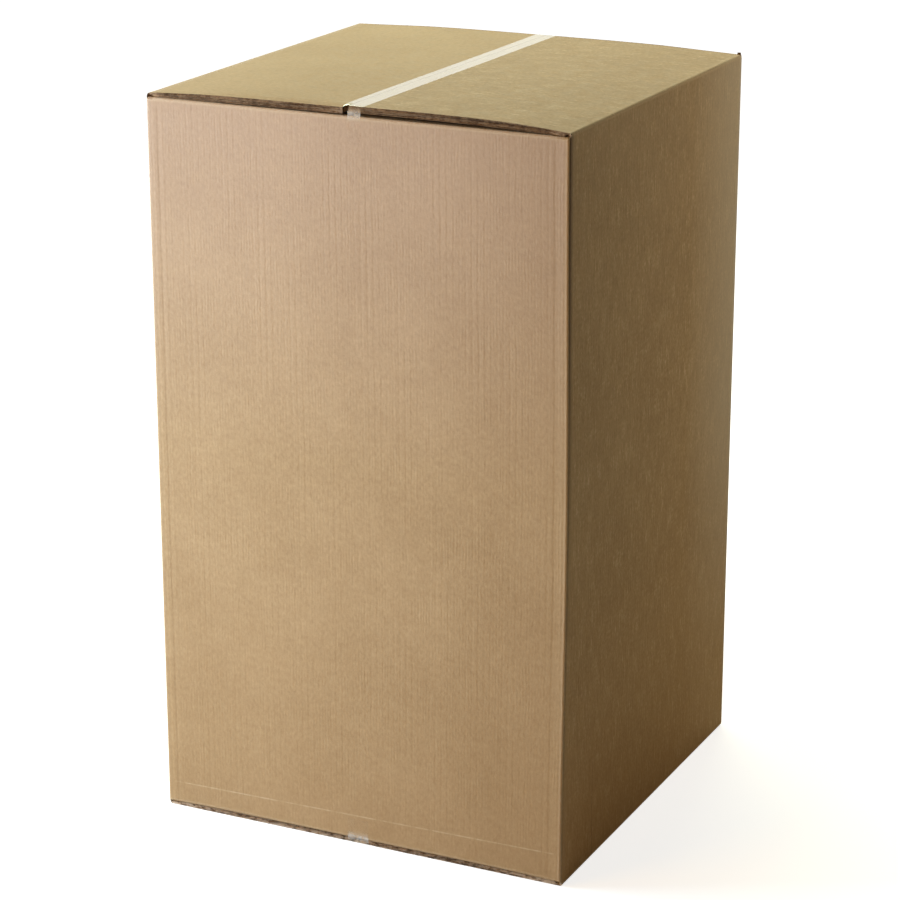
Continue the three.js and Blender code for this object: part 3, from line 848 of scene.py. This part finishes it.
FILM_EDGE_Y = -(HALF - CORNER_RADIUS + 0.3)
leg_end, leg_top = HEIGHT - TAPE_LEG, HEIGHT - FOLD_RADIUS / 2
flat_y = np.linspace(FILM_EDGE_Y, -FILM_EDGE_Y, 40)
flat = np.stack((flat_y, seam_height(flat_y)), 1)
front_leg, back_leg = [(-HALF, leg_end), (-HALF, leg_top)], [(HALF, leg_top), (HALF, leg_end)]
path, normals, at = tape_path(np.concatenate((front_leg, flat, back_leg)))
centre = seam_x(path[:, 0])
tape_centre = mix(TAPE_X_FRONT, TAPE_X_BACK, 0.5 + path[:, 0] / WIDTH) + 0.4 * np.sin(at / 95)
edge_wave = 0.15 * gentle(at, 0 * at, 21, 40)
by_front = smooth(-path[:, 0], HALF - CORNER_RADIUS - TORN_LENGTH, HALF - CORNER_RADIUS - 2)
bridge = smooth(-path[:, 0], HALF - CORNER_RADIUS - 1, HALF - CORNER_RADIUS + 1)


def crushed_drop(x, y):
    """How far the film follows the left flap's crushed front edge down."""
    crushed = 1 - ease_out((HALF - CORNER_RADIUS + y) / DROOP_RUN)
    return DROOP_SHARE * LIFT_AT_SEAM * crushed * (x < seam_x(y)) * (y < -150)


def no_drop(x, y):
    return 0 * x


film_skin = Skin()
on_top = path[:, 0] > FILM_EDGE_Y + 1.5
film(film_skin, path[on_top], normals[on_top], at[on_top], (tape_centre - FILM_HALF + edge_wave)[on_top],
     (centre - 0.06 - TORN_REACH * by_front)[on_top], crushed_drop, 1, 31, leg_top + 3)
film(film_skin, path, normals, at, centre + 0.06, tape_centre + FILM_HALF + edge_wave[::-1] - 2.5 * bridge, no_drop, 1, 37, leg_top + 3)
top_film = piece("top_film", film_skin.mesh("top_film", "loose", 60), "clear_tape", "top_tape")

film_skin = Skin()
ends = wall_ends(FRONT, False, np.array([0.0]))[0][0] - FOLD_RADIUS / 2
corners = [(-HALF, TAPE_LEG), (-HALF, ends), (FILM_EDGE_Y, TAPE_THICKNESS), (-FILM_EDGE_Y, TAPE_THICKNESS), (HALF, ends), (HALF, TAPE_LEG)]
path, normals, at = tape_path(np.array(corners))
centre = SEAM_X_BOTTOM + 0.4 * np.sin(at / 80)
film(film_skin, path, normals, at, centre - 12.2, centre + 12.2, no_drop, -1, 43, ends)
bottom_film = piece("bottom_film", film_skin.mesh("bottom_film", "loose", 60), "clear_tape", "bottom_tape")

# %% [markdown]
# ## Materials
#
# Brown kraft liner is a matt paper. It is cloudy over a few centimetres, streaked along
# the way it ran on the paper machine, which is across the flutes, and flecked with darker
# fibres. The flutes show as faint lines. At the folds the fibres are stretched and broken,
# so they look paler and rougher. The pattern lives on the blank's own coordinates.

# %% Helpers for node trees


def srgb(red, green, blue):
    """Linear values of a colour given as it is seen, 0 to 255 for each part."""
    part = np.array([red, green, blue]) / 255
    linear = np.where(part <= 0.04045, part / 12.92, ((part + 0.055) / 1.055) ** 2.4)
    return (*linear.tolist(), 1.0)


def add(tree, kind, *values, **settings):
    """Adds a node. Each value is a number, a colour or another node's output, in the order
    of the node's inputs, and None leaves an input as it is."""
    node = tree.nodes.new(kind)
    for key, value in settings.items():
        setattr(node, key, value)
    for socket, value in zip(node.inputs, values):
        if isinstance(value, bpy.types.NodeSocket):
            tree.links.new(value, socket)
        elif value is not None:
            socket.default_value = value
    return node


def math_node(tree, operation, *values):
    return add(tree, "ShaderNodeMath", *values, operation=operation).outputs[0]


def mix_colour(tree, share, first, second, blend="MIX"):
    node = add(tree, "ShaderNodeMix", data_type="RGBA", blend_type=blend)
    for socket, value in zip((node.inputs[0], node.inputs[6], node.inputs[7]), (share, first, second)):
        if isinstance(value, bpy.types.NodeSocket):
            tree.links.new(value, socket)
        else:
            socket.default_value = value
    return node.outputs[2]


def ranged(tree, value, low, high, to_low=0.0, to_high=1.0):
    """value brought from the range low to high into to_low to to_high, and held there."""
    node = add(tree, "ShaderNodeMapRange", value, low, high, to_low, to_high, clamp=True)
    return node.outputs[0]


def noise(tree, place, scale, detail=3.0, stretch=(1, 1, 1)):
    """Noise about 0.5, of the given number of cells a metre, stretched along the axes."""
    mapped = add(tree, "ShaderNodeMapping", place, (0, 0, 0), (0, 0, 0), stretch)
    node = add(tree, "ShaderNodeTexNoise", mapped.outputs[0], None, scale, detail, 0.55)
    return node.outputs["Fac"]


def group(name, inputs, outputs):
    """An empty shader node group with named inputs and outputs."""
    tree = bpy.data.node_groups.new(name, "ShaderNodeTree")
    for title, kind in inputs:
        tree.interface.new_socket(title, in_out="INPUT", socket_type=kind)
    for title, kind in outputs:
        tree.interface.new_socket(title, in_out="OUTPUT", socket_type=kind)
    return tree, tree.nodes.new("NodeGroupInput").outputs, tree.nodes.new("NodeGroupOutput").inputs


# %% Paper as a node group
paper_tree, given, result = group(
    "kraft_paper",
    [("Place", "NodeSocketVector"), ("Light", "NodeSocketColor"), ("Dark", "NodeSocketColor"), ("Flecks", "NodeSocketFloat")],
    [("Color", "NodeSocketColor"), ("Height", "NodeSocketFloat"), ("Roughness", "NodeSocketFloat")],
)
cloud = noise(paper_tree, given["Place"], 9, 2)
mottle = noise(paper_tree, given["Place"], 70, 4)
speck = noise(paper_tree, given["Place"], 340, 3, (1, 0.6, 1))
fibre = noise(paper_tree, given["Place"], 1300, 2, (0.4, 1, 1))
tone = math_node(paper_tree, "ADD", ranged(paper_tree, cloud, 0.35, 0.65, 0, 0.22), ranged(paper_tree, mottle, 0.3, 0.7, 0, 0.28))
tone = math_node(paper_tree, "ADD", tone, ranged(paper_tree, speck, 0.3, 0.7, 0, 0.5))
paper_colour = mix_colour(paper_tree, tone, given["Dark"], given["Light"])
fleck = ranged(paper_tree, fibre, 0.63, 0.75, 0, 1)
paper_colour = mix_colour(paper_tree, math_node(paper_tree, "MULTIPLY", fleck, given["Flecks"]), paper_colour, srgb(120, 88, 56))
pale = ranged(paper_tree, fibre, 0.36, 0.27, 0, 0.3)
paper_colour = mix_colour(paper_tree, pale, paper_colour, srgb(214, 188, 154))
height = math_node(paper_tree, "ADD", math_node(paper_tree, "MULTIPLY", fibre, 0.25), math_node(paper_tree, "MULTIPLY", speck, 0.75))
paper_tree.links.new(paper_colour, result["Color"])
paper_tree.links.new(height, result["Height"])
paper_tree.links.new(ranged(paper_tree, mottle, 0.3, 0.7, 0.68, 0.8), result["Roughness"])

# %% Liner of the carton
KRAFT_LIGHT = srgb(205, 175, 139)
KRAFT_DARK = srgb(176, 145, 109)
U_LEFT_CORNER, U_RIGHT_CORNER = (
    columns["u"][columns["panel"] == quarter][edge] * MM for quarter, edge in ((FRONT, 0), (FRONT, -1))
)
U_RIGHT_MARK = (columns["u"][columns["panel"] == RIGHT][0] + 77) * MM
SCORE_LEFT, SCORE_RIGHT = 0.0265, 0.0335  # heights of the slanted score line at the front


def material(name):
    made = bpy.data.materials.new(name)
    made.use_nodes = True
    return made, made.node_tree, made.node_tree.nodes["Principled BSDF"]


def line_mask(tree, distance, half_width):
    """1 on a line and 0 from half_width away from it."""
    return ranged(tree, math_node(tree, "ABSOLUTE", distance), half_width, 0.2 * half_width)


liner, tree, shader = material("kraft_liner")
place = add(tree, "ShaderNodeUVMap", uv_map="blank").outputs[0]
wear = add(tree, "ShaderNodeAttribute", attribute_name="wear").outputs["Fac"]
paper = add(tree, "ShaderNodeGroup", node_tree=paper_tree)
tree.links.new(place, paper.inputs["Place"])
paper.inputs["Light"].default_value = KRAFT_LIGHT
paper.inputs["Dark"].default_value = KRAFT_DARK
paper.inputs["Flecks"].default_value = 0.35
split = add(tree, "ShaderNodeSeparateXYZ", place)
u, v = split.outputs[0], split.outputs[1]

# Ripples of the liner over the flutes: short, wavy and about half a flute wide.
wander = math_node(tree, "MULTIPLY", noise(tree, place, 45, 2, (1, 0.5, 1)), 0.004)
phase = math_node(tree, "MULTIPLY", math_node(tree, "ADD", u, wander), 2 * math.pi / (OUTER_FLUTE * MM / 2))
regular = math_node(tree, "MULTIPLY_ADD", math_node(tree, "COSINE", phase), 0.5, 0.5)
patchy = ranged(tree, noise(tree, place, 60, 3, (1, 0.45, 1)), 0.35, 0.68)
cockle = noise(tree, place, 330, 2, (1, 0.8, 1))
ripple = math_node(tree, "ADD", math_node(tree, "MULTIPLY", regular, math_node(tree, "MULTIPLY", patchy, 0.35)), cockle)
last = U_RIGHT_CORNER + WIDTH * MM
on_right = math_node(tree, "MULTIPLY", ranged(tree, u, U_RIGHT_CORNER, U_RIGHT_CORNER + 0.02),
                     ranged(tree, u, last + 0.03, last + 0.012, 0.2, 1))
lines = math_node(tree, "MULTIPLY_ADD", on_right, 0.34, 0.08)
grooves = noise(tree, place, 360, 2, (1, 0.12, 1))
groove_share = math_node(tree, "MULTIPLY_ADD", on_right, 1.0, 0.15)
ripple = math_node(tree, "MULTIPLY_ADD", math_node(tree, "SUBTRACT", grooves, 0.5), groove_share, ripple)
# Painted shade in the hollows of the flute ripples and painted light on their crests: faint on most of the board,
# strongest on the right panel.
colour = mix_colour(tree, math_node(tree, "MULTIPLY", ranged(tree, ripple, 0.85, 0.2), lines), paper.outputs["Color"], srgb(126, 92, 56))
painted_crest_light = math_node(tree, "MULTIPLY", ranged(tree, ripple, 0.75, 1.05), math_node(tree, "MULTIPLY", on_right, 0.55))
colour = mix_colour(tree, painted_crest_light, colour, srgb(232, 208, 176))

# Painted light: the paper is painted a little paler and cooler towards the top of the box, standing in for cool light
# from above, and warmer and darker towards the floor, a painted shade.
above = math_node(tree, "MULTIPLY", ranged(tree, v, 0.42, 0.76, 0, 0.33), ranged(tree, v, (HEIGHT + 12) * MM, (HEIGHT + 2) * MM))
colour = mix_colour(tree, math_node(tree, "MULTIPLY", above, math_node(tree, "MULTIPLY_ADD", on_right, -0.9, 1.0)), colour, srgb(192, 168, 168))
below = math_node(tree, "MULTIPLY", ranged(tree, v, 0.42, 0.05, 0, 0.22), math_node(tree, "MULTIPLY_ADD", on_right, 0.9, 1.0))
colour = mix_colour(tree, below, colour, srgb(172, 127, 72))

# Marks: a slanted score line on the front and one on the right panel. The upright folds of the front get painted shade.
run = math_node(tree, "DIVIDE", math_node(tree, "SUBTRACT", u, U_LEFT_CORNER), U_RIGHT_CORNER - U_LEFT_CORNER)
on_front = math_node(tree, "MULTIPLY", ranged(tree, run, 0.0, 0.01), ranged(tree, run, 1.0, 0.99))
# Towards its right end the front panel is painted darker, a painted shade where the light falls off; towards its left
# end it is painted a little darker as well.
front_end_darkening = math_node(tree, "MULTIPLY", ranged(tree, run, 0.68, 1.0, 0, 0.17), on_front)
colour = mix_colour(tree, front_end_darkening, colour, srgb(140, 100, 50))
front_end_darkening = math_node(tree, "MULTIPLY", ranged(tree, run, 0.25, 0.0, 0, 0.1), on_front)
colour = mix_colour(tree, front_end_darkening, colour, srgb(128, 96, 66))
rise = math_node(tree, "MULTIPLY_ADD", run, SCORE_RIGHT - SCORE_LEFT, SCORE_LEFT)
slant = line_mask(tree, math_node(tree, "SUBTRACT", v, rise), 0.0011)
worn = ranged(tree, noise(tree, place, 90, 3), 0.35, 0.6, 0.08, 0.5)
score = math_node(tree, "MULTIPLY", math_node(tree, "MULTIPLY", slant, on_front), worn)
mark = line_mask(tree, math_node(tree, "SUBTRACT", u, U_RIGHT_MARK), 0.0009)
mark = math_node(tree, "MULTIPLY", mark, ranged(tree, v, 0.115, 0.095, 0, 0.4))
# Painted shade along the upright folds: a darker band on the left fold's rounding with a dark line just inside it, and
# a dark strip past the right fold's rounding, stronger towards the top. The right panel's mark gets the same dark
# brown.
inner_line = line_mask(tree, math_node(tree, "SUBTRACT", u, U_LEFT_CORNER + 0.0045), 0.0012)
left_fold_shade = math_node(tree, "MULTIPLY_ADD", inner_line, 0.06, ranged(tree, u, U_LEFT_CORNER - 0.0008, U_LEFT_CORNER - 0.003, 0, 0.16))
right_fold_shade = math_node(tree, "MULTIPLY", ranged(tree, u, U_RIGHT_CORNER + 0.0068, U_RIGHT_CORNER + 0.008),
                       ranged(tree, u, U_RIGHT_CORNER + 0.017, U_RIGHT_CORNER + 0.011))
right_fold_shade = math_node(tree, "MULTIPLY", right_fold_shade, ranged(tree, v, 0.25, 0.7, 0.08, 0.8))
on_wall = math_node(tree, "MULTIPLY", ranged(tree, v, 0.0, 0.003), ranged(tree, v, HEIGHT * MM + 0.004, HEIGHT * MM + 0.001))
# Painted light: the rounding of the front right fold is painted paler, so that it stays as bright as the front beside
# it.
painted_fold_light = math_node(tree, "MULTIPLY", ranged(tree, u, U_RIGHT_CORNER + 0.002, U_RIGHT_CORNER + 0.0045),
                   ranged(tree, u, U_RIGHT_CORNER + 0.0085, U_RIGHT_CORNER + 0.0068, 0, 0.35))
colour = mix_colour(tree, math_node(tree, "MULTIPLY", painted_fold_light, on_wall), colour, srgb(240, 214, 182))
on_flap = ranged(tree, v, (HEIGHT + 6) * MM, (HEIGHT + 12) * MM)
strokes = ranged(tree, noise(tree, place, 420, 2, (1, 0.09, 1)), 0.37, 0.29, 0, 0.4)
colour = mix_colour(tree, math_node(tree, "MULTIPLY", strokes, on_flap), colour, srgb(120, 92, 58))
fold_shade_and_mark = math_node(tree, "MULTIPLY", math_node(tree, "ADD", left_fold_shade, right_fold_shade), on_wall)
fold_shade_and_mark = math_node(tree, "MAXIMUM", fold_shade_and_mark, mark)
colour = mix_colour(tree, fold_shade_and_mark, colour, srgb(98, 68, 42))
# Painted light: the right panel is painted paler and greyer towards its back fold, and paler still on that fold's
# rounding, stronger towards the top, where light from behind catches it.
painted_back_edge_light = math_node(tree, "ADD", ranged(tree, u, last - 0.14, last - 0.02, 0, 0.4), ranged(tree, u, last - 0.004, last + 0.005, 0, 0.4))
painted_back_edge_light = math_node(tree, "MULTIPLY", painted_back_edge_light, ranged(tree, v, 0.1, 0.4, 0.15, 1.0))
painted_back_edge_light = math_node(tree, "MULTIPLY", painted_back_edge_light, ranged(tree, u, last + 0.016, last + 0.011))
painted_back_edge_light = math_node(tree, "MULTIPLY", painted_back_edge_light, on_wall)
colour = mix_colour(tree, math_node(tree, "MULTIPLY", painted_back_edge_light, on_right), colour, srgb(214, 208, 204))
# Painted shade: the front flap, seen in the dark gap under the outer flaps, is painted nearly black.
painted_gap_shade = math_node(tree, "MULTIPLY", on_front, ranged(tree, v, (HEIGHT + 2.6) * MM, (HEIGHT + 4.2) * MM, 0, 0.93))
colour = mix_colour(tree, painted_gap_shade, colour, srgb(34, 18, 10))
broken = ranged(tree, noise(tree, place, 420, 3), 0.35, 0.6, 0.35, 1.0)
pale = math_node(tree, "MULTIPLY", ranged(tree, wear, 0.15, 1.0, 0, 0.4), broken)
colour = mix_colour(tree, math_node(tree, "MAXIMUM", pale, score), colour, srgb(226, 203, 172))
tree.links.new(colour, shader.inputs["Base Color"])
tree.links.new(paper.outputs["Roughness"], shader.inputs["Roughness"])
shader.inputs["Specular IOR Level"].default_value = 0.35
relief_height = math_node(tree, "MULTIPLY_ADD", paper.outputs["Height"], 0.3, ripple)
relief_height = math_node(tree, "MULTIPLY_ADD", score, -0.6, relief_height)
bump = add(tree, "ShaderNodeBump", 0.8)
bump.inputs["Distance"].default_value = 0.00022
tree.links.new(relief_height, bump.inputs["Height"])
tree.links.new(bump.outputs[0], shader.inputs["Normal"])

# %% Raw board
raw, tree, shader = material("raw_board")
place = add(tree, "ShaderNodeTexCoord").outputs["Object"]
paper = add(tree, "ShaderNodeGroup", node_tree=paper_tree)
tree.links.new(place, paper.inputs["Place"])
paper.inputs["Light"].default_value = srgb(180, 152, 124)
paper.inputs["Dark"].default_value = srgb(94, 68, 50)
paper.inputs["Flecks"].default_value = 0.8
torn = noise(tree, place, 170, 4, (1, 1, 1.6))
colour = mix_colour(tree, ranged(tree, torn, 0.52, 0.38, 0, 0.6), paper.outputs["Color"], srgb(70, 47, 34))
height_up = add(tree, "ShaderNodeSeparateXYZ", place).outputs[2]
# Painted light: near the floor the raw edges are painted paler in patches, standing in for the light they catch there.
painted_low_light = math_node(tree, "MULTIPLY", ranged(tree, height_up, 0.009, 0.004), ranged(tree, torn, 0.42, 0.56, 0.1, 0.8))
colour = mix_colour(tree, painted_low_light, colour, srgb(214, 194, 176))
tree.links.new(colour, shader.inputs["Base Color"])
shader.inputs["Roughness"].default_value = 0.9
shader.inputs["Specular IOR Level"].default_value = 0.2
bump = add(tree, "ShaderNodeBump", 0.6)
bump.inputs["Distance"].default_value = 0.0003
tree.links.new(paper.outputs["Height"], bump.inputs["Height"])
tree.links.new(bump.outputs[0], shader.inputs["Normal"])

# %% Film
clear, tree, shader = material("clear_film")
place = add(tree, "ShaderNodeUVMap", uv_map="blank").outputs[0]
loose = add(tree, "ShaderNodeAttribute", attribute_name="loose").outputs["Fac"]
haze = noise(tree, place, 60, 3, (2.5, 1, 1))
facing = add(tree, "ShaderNodeLayerWeight", 0.35).outputs["Fresnel"]
streaks = noise(tree, place, 900, 2, (1, 0.015, 1))
film_edge = ranged(tree, streaks, 0.35, 0.65, -0.1, 0.1)
alpha = math_node(tree, "ADD", ranged(tree, facing, 0.07, 0.19, 0.012, 0.95), ranged(tree, haze, 0.4, 0.75, -0.01, 0.02))
alpha = math_node(tree, "ADD", alpha, math_node(tree, "MULTIPLY", film_edge, ranged(tree, facing, 0.06, 0.19)))
# Painted glints: loose film is made more opaque in patches, so it shows whiter there.
painted_crumple_glints = ranged(tree, noise(tree, place, 150, 1), 0.36, 0.62, 0.24, 0.5)
alpha = math_node(tree, "ADD", alpha, math_node(tree, "MULTIPLY", loose, painted_crumple_glints))
path_of_ray = add(tree, "ShaderNodeLightPath")
unseen = math_node(tree, "MAXIMUM", path_of_ray.outputs["Is Shadow Ray"], path_of_ray.outputs["Is Diffuse Ray"])
unseen = math_node(tree, "MAXIMUM", unseen, add(tree, "ShaderNodeNewGeometry").outputs["Backfacing"])
alpha = math_node(tree, "MULTIPLY", math_node(tree, "MINIMUM", alpha, 0.96), ranged(tree, unseen, 0, 1, 1, 0.02))
# Painted reflection: the film's whitish colour, more opaque at grazing angles, stands in for the glare it reflects;
# where the film is loose it is bluish white, a painted reflection of the cool lamp on the left.
film_glare_colour = mix_colour(tree, loose, srgb(240, 234, 217), srgb(236, 240, 250))
split = add(tree, "ShaderNodeSeparateXYZ", place)
# Painted shade: a grey line on the film along the seam gap beneath it.
seam_at = math_node(tree, "MULTIPLY_ADD", split.outputs[1], 0.0125, -0.0045)
painted_seam_shade = math_node(tree, "MULTIPLY", line_mask(tree, math_node(tree, "SUBTRACT", split.outputs[0], seam_at), 0.0009), 0.35)
tree.links.new(mix_colour(tree, painted_seam_shade, film_glare_colour, srgb(150, 140, 124)), shader.inputs["Base Color"])
tree.links.new(ranged(tree, haze, 0.3, 0.7, 0.08, 0.2), shader.inputs["Roughness"])
tree.links.new(alpha, shader.inputs["Alpha"])
shader.inputs["IOR"].default_value = 1.5
bump = add(tree, "ShaderNodeBump", 0.3)
bump.inputs["Distance"].default_value = 0.0002
tree.links.new(haze, bump.inputs["Height"])
tree.links.new(bump.outputs[0], shader.inputs["Normal"])

board.data.materials.append(liner)
board.data.materials.append(raw)
raw_edges.data.materials.append(raw)
corner_webs.data.materials.append(liner)
corner_scrap.data.materials.append(raw)
for strip in (top_film, bottom_film):
    strip.data.materials.append(clear)

# %% [markdown]
# ## Floor, lights and camera
#
# The box stands on a plain pale floor. The floor looks white to the camera and keeps the
# box's shadow, but lights the box only a little.

# %% Floor
floor_mesh = bpy.data.meshes.new("floor")
FLOOR_HALF = 9.0
floor_mesh.from_pydata([(-FLOOR_HALF, -FLOOR_HALF, -0.0003), (FLOOR_HALF, -FLOOR_HALF, -0.0003), (FLOOR_HALF, FLOOR_HALF, -0.0003), (-FLOOR_HALF, FLOOR_HALF, -0.0003)], [], [(0, 1, 2, 3)])
floor = bpy.data.objects.new("floor", floor_mesh)
bpy.context.scene.collection.objects.link(floor)
paint, tree, shader = material("floor_paint")
seen = add(tree, "ShaderNodeLightPath").outputs["Is Camera Ray"]
shader.inputs["Roughness"].default_value = 0.9
shader.inputs["Specular IOR Level"].default_value = 0.0
tree.links.new(mix_colour(tree, seen, (0.55, 0.53, 0.5, 1), (0.45, 0.45, 0.45, 1)), shader.inputs["Base Color"])
shader.inputs["Emission Color"].default_value = (1, 1, 1, 1)
place = add(tree, "ShaderNodeTexCoord").outputs["Object"]
far = add(tree, "ShaderNodeVectorMath", place, operation="LENGTH").outputs["Value"]
glow = math_node(tree, "MULTIPLY", seen, ranged(tree, far, 0.4, 1.3, 0.78, 1.1))
tree.links.new(glow, shader.inputs["Emission Strength"])
floor_mesh.materials.append(paint)

# %% Lights


def panel_light(name, place, aim, size, power, colour):
    """A flat lamp at place, turned to face aim."""
    data = bpy.data.lights.new(name, "AREA")
    data.shape = "RECTANGLE"
    data.size, data.size_y = size
    data.energy = power
    data.color = colour
    lamp = bpy.data.objects.new(name, data)
    lamp.location = place
    direction = lamp.location - bpy.data.objects["floor"].location.__class__(aim)
    lamp.rotation_euler = direction.to_track_quat("Z", "Y").to_euler()
    bpy.context.scene.collection.objects.link(lamp)


panel_light("window_left", (-1.5, -0.75, 0.8), (0, -0.235, 0.45), (0.8, 1.0), 59, (0.64, 0.85, 1.0))
panel_light("warm_front", (-1.3, -2.0, 1.55), (-0.05, -0.2, 0.5), (1.1, 1.1), 26.5, (1.0, 0.53, 0.06))
panel_light("sky_back", (-0.9, 1.9, 2.5), (0, 0, 0.8), (1.8, 1.2), 71, (0.92, 1.0, 0.71))
panel_light("edge_right", (0.75, 1.1, 0.95), (0.235, 0.15, 0.6), (0.5, 0.9), 7.4, (1.0, 0.82, 0.5))
panel_light("tape_glare", (-1.15, 2.4, 1.29), (0, 0, 0.8), (1.7, 0.6), 3.4, (1.0, 0.93, 1.0))

world = bpy.data.worlds.new("studio")
bpy.context.scene.world = world
world.use_nodes = True
tree = world.node_tree
seen = add(tree, "ShaderNodeLightPath").outputs["Is Camera Ray"]
sky = tree.nodes["Background"]
tree.links.new(mix_colour(tree, seen, (0.95, 0.86, 0.68, 1), (1, 1, 1, 1)), sky.inputs["Color"])
tree.links.new(ranged(tree, seen, 0, 1, 0.02, 1.0), sky.inputs["Strength"])
bpy.context.scene.view_settings.view_transform = "Standard"

# %% Camera
LENS_PIXELS = 2894.4
FRAME_PIXELS = 900.0
CAMERA_PLACE = (1.3066, -2.7199, 1.3541)
CAMERA_RIGHT = (0.90062, 0.43460, -0.00065)
CAMERA_UP = (-0.13376, 0.27862, 0.95104)
CAMERA_BACK = (0.41350, -0.85645, 0.30907)
camera_data = bpy.data.cameras.new("camera")
camera_data.sensor_width = 36.0
camera_data.lens = LENS_PIXELS / FRAME_PIXELS * camera_data.sensor_width
camera = bpy.data.objects.new("camera", camera_data)
bpy.context.scene.collection.objects.link(camera)
turn = Matrix((CAMERA_RIGHT, CAMERA_UP, CAMERA_BACK)).transposed()
camera.matrix_world = Matrix.Translation(CAMERA_PLACE) @ turn.to_4x4()
bpy.context.scene.camera = camera

# %% Sizes and finish
print("packed model", [[round(x, 4) for x in c] for c in CAD_BOX])
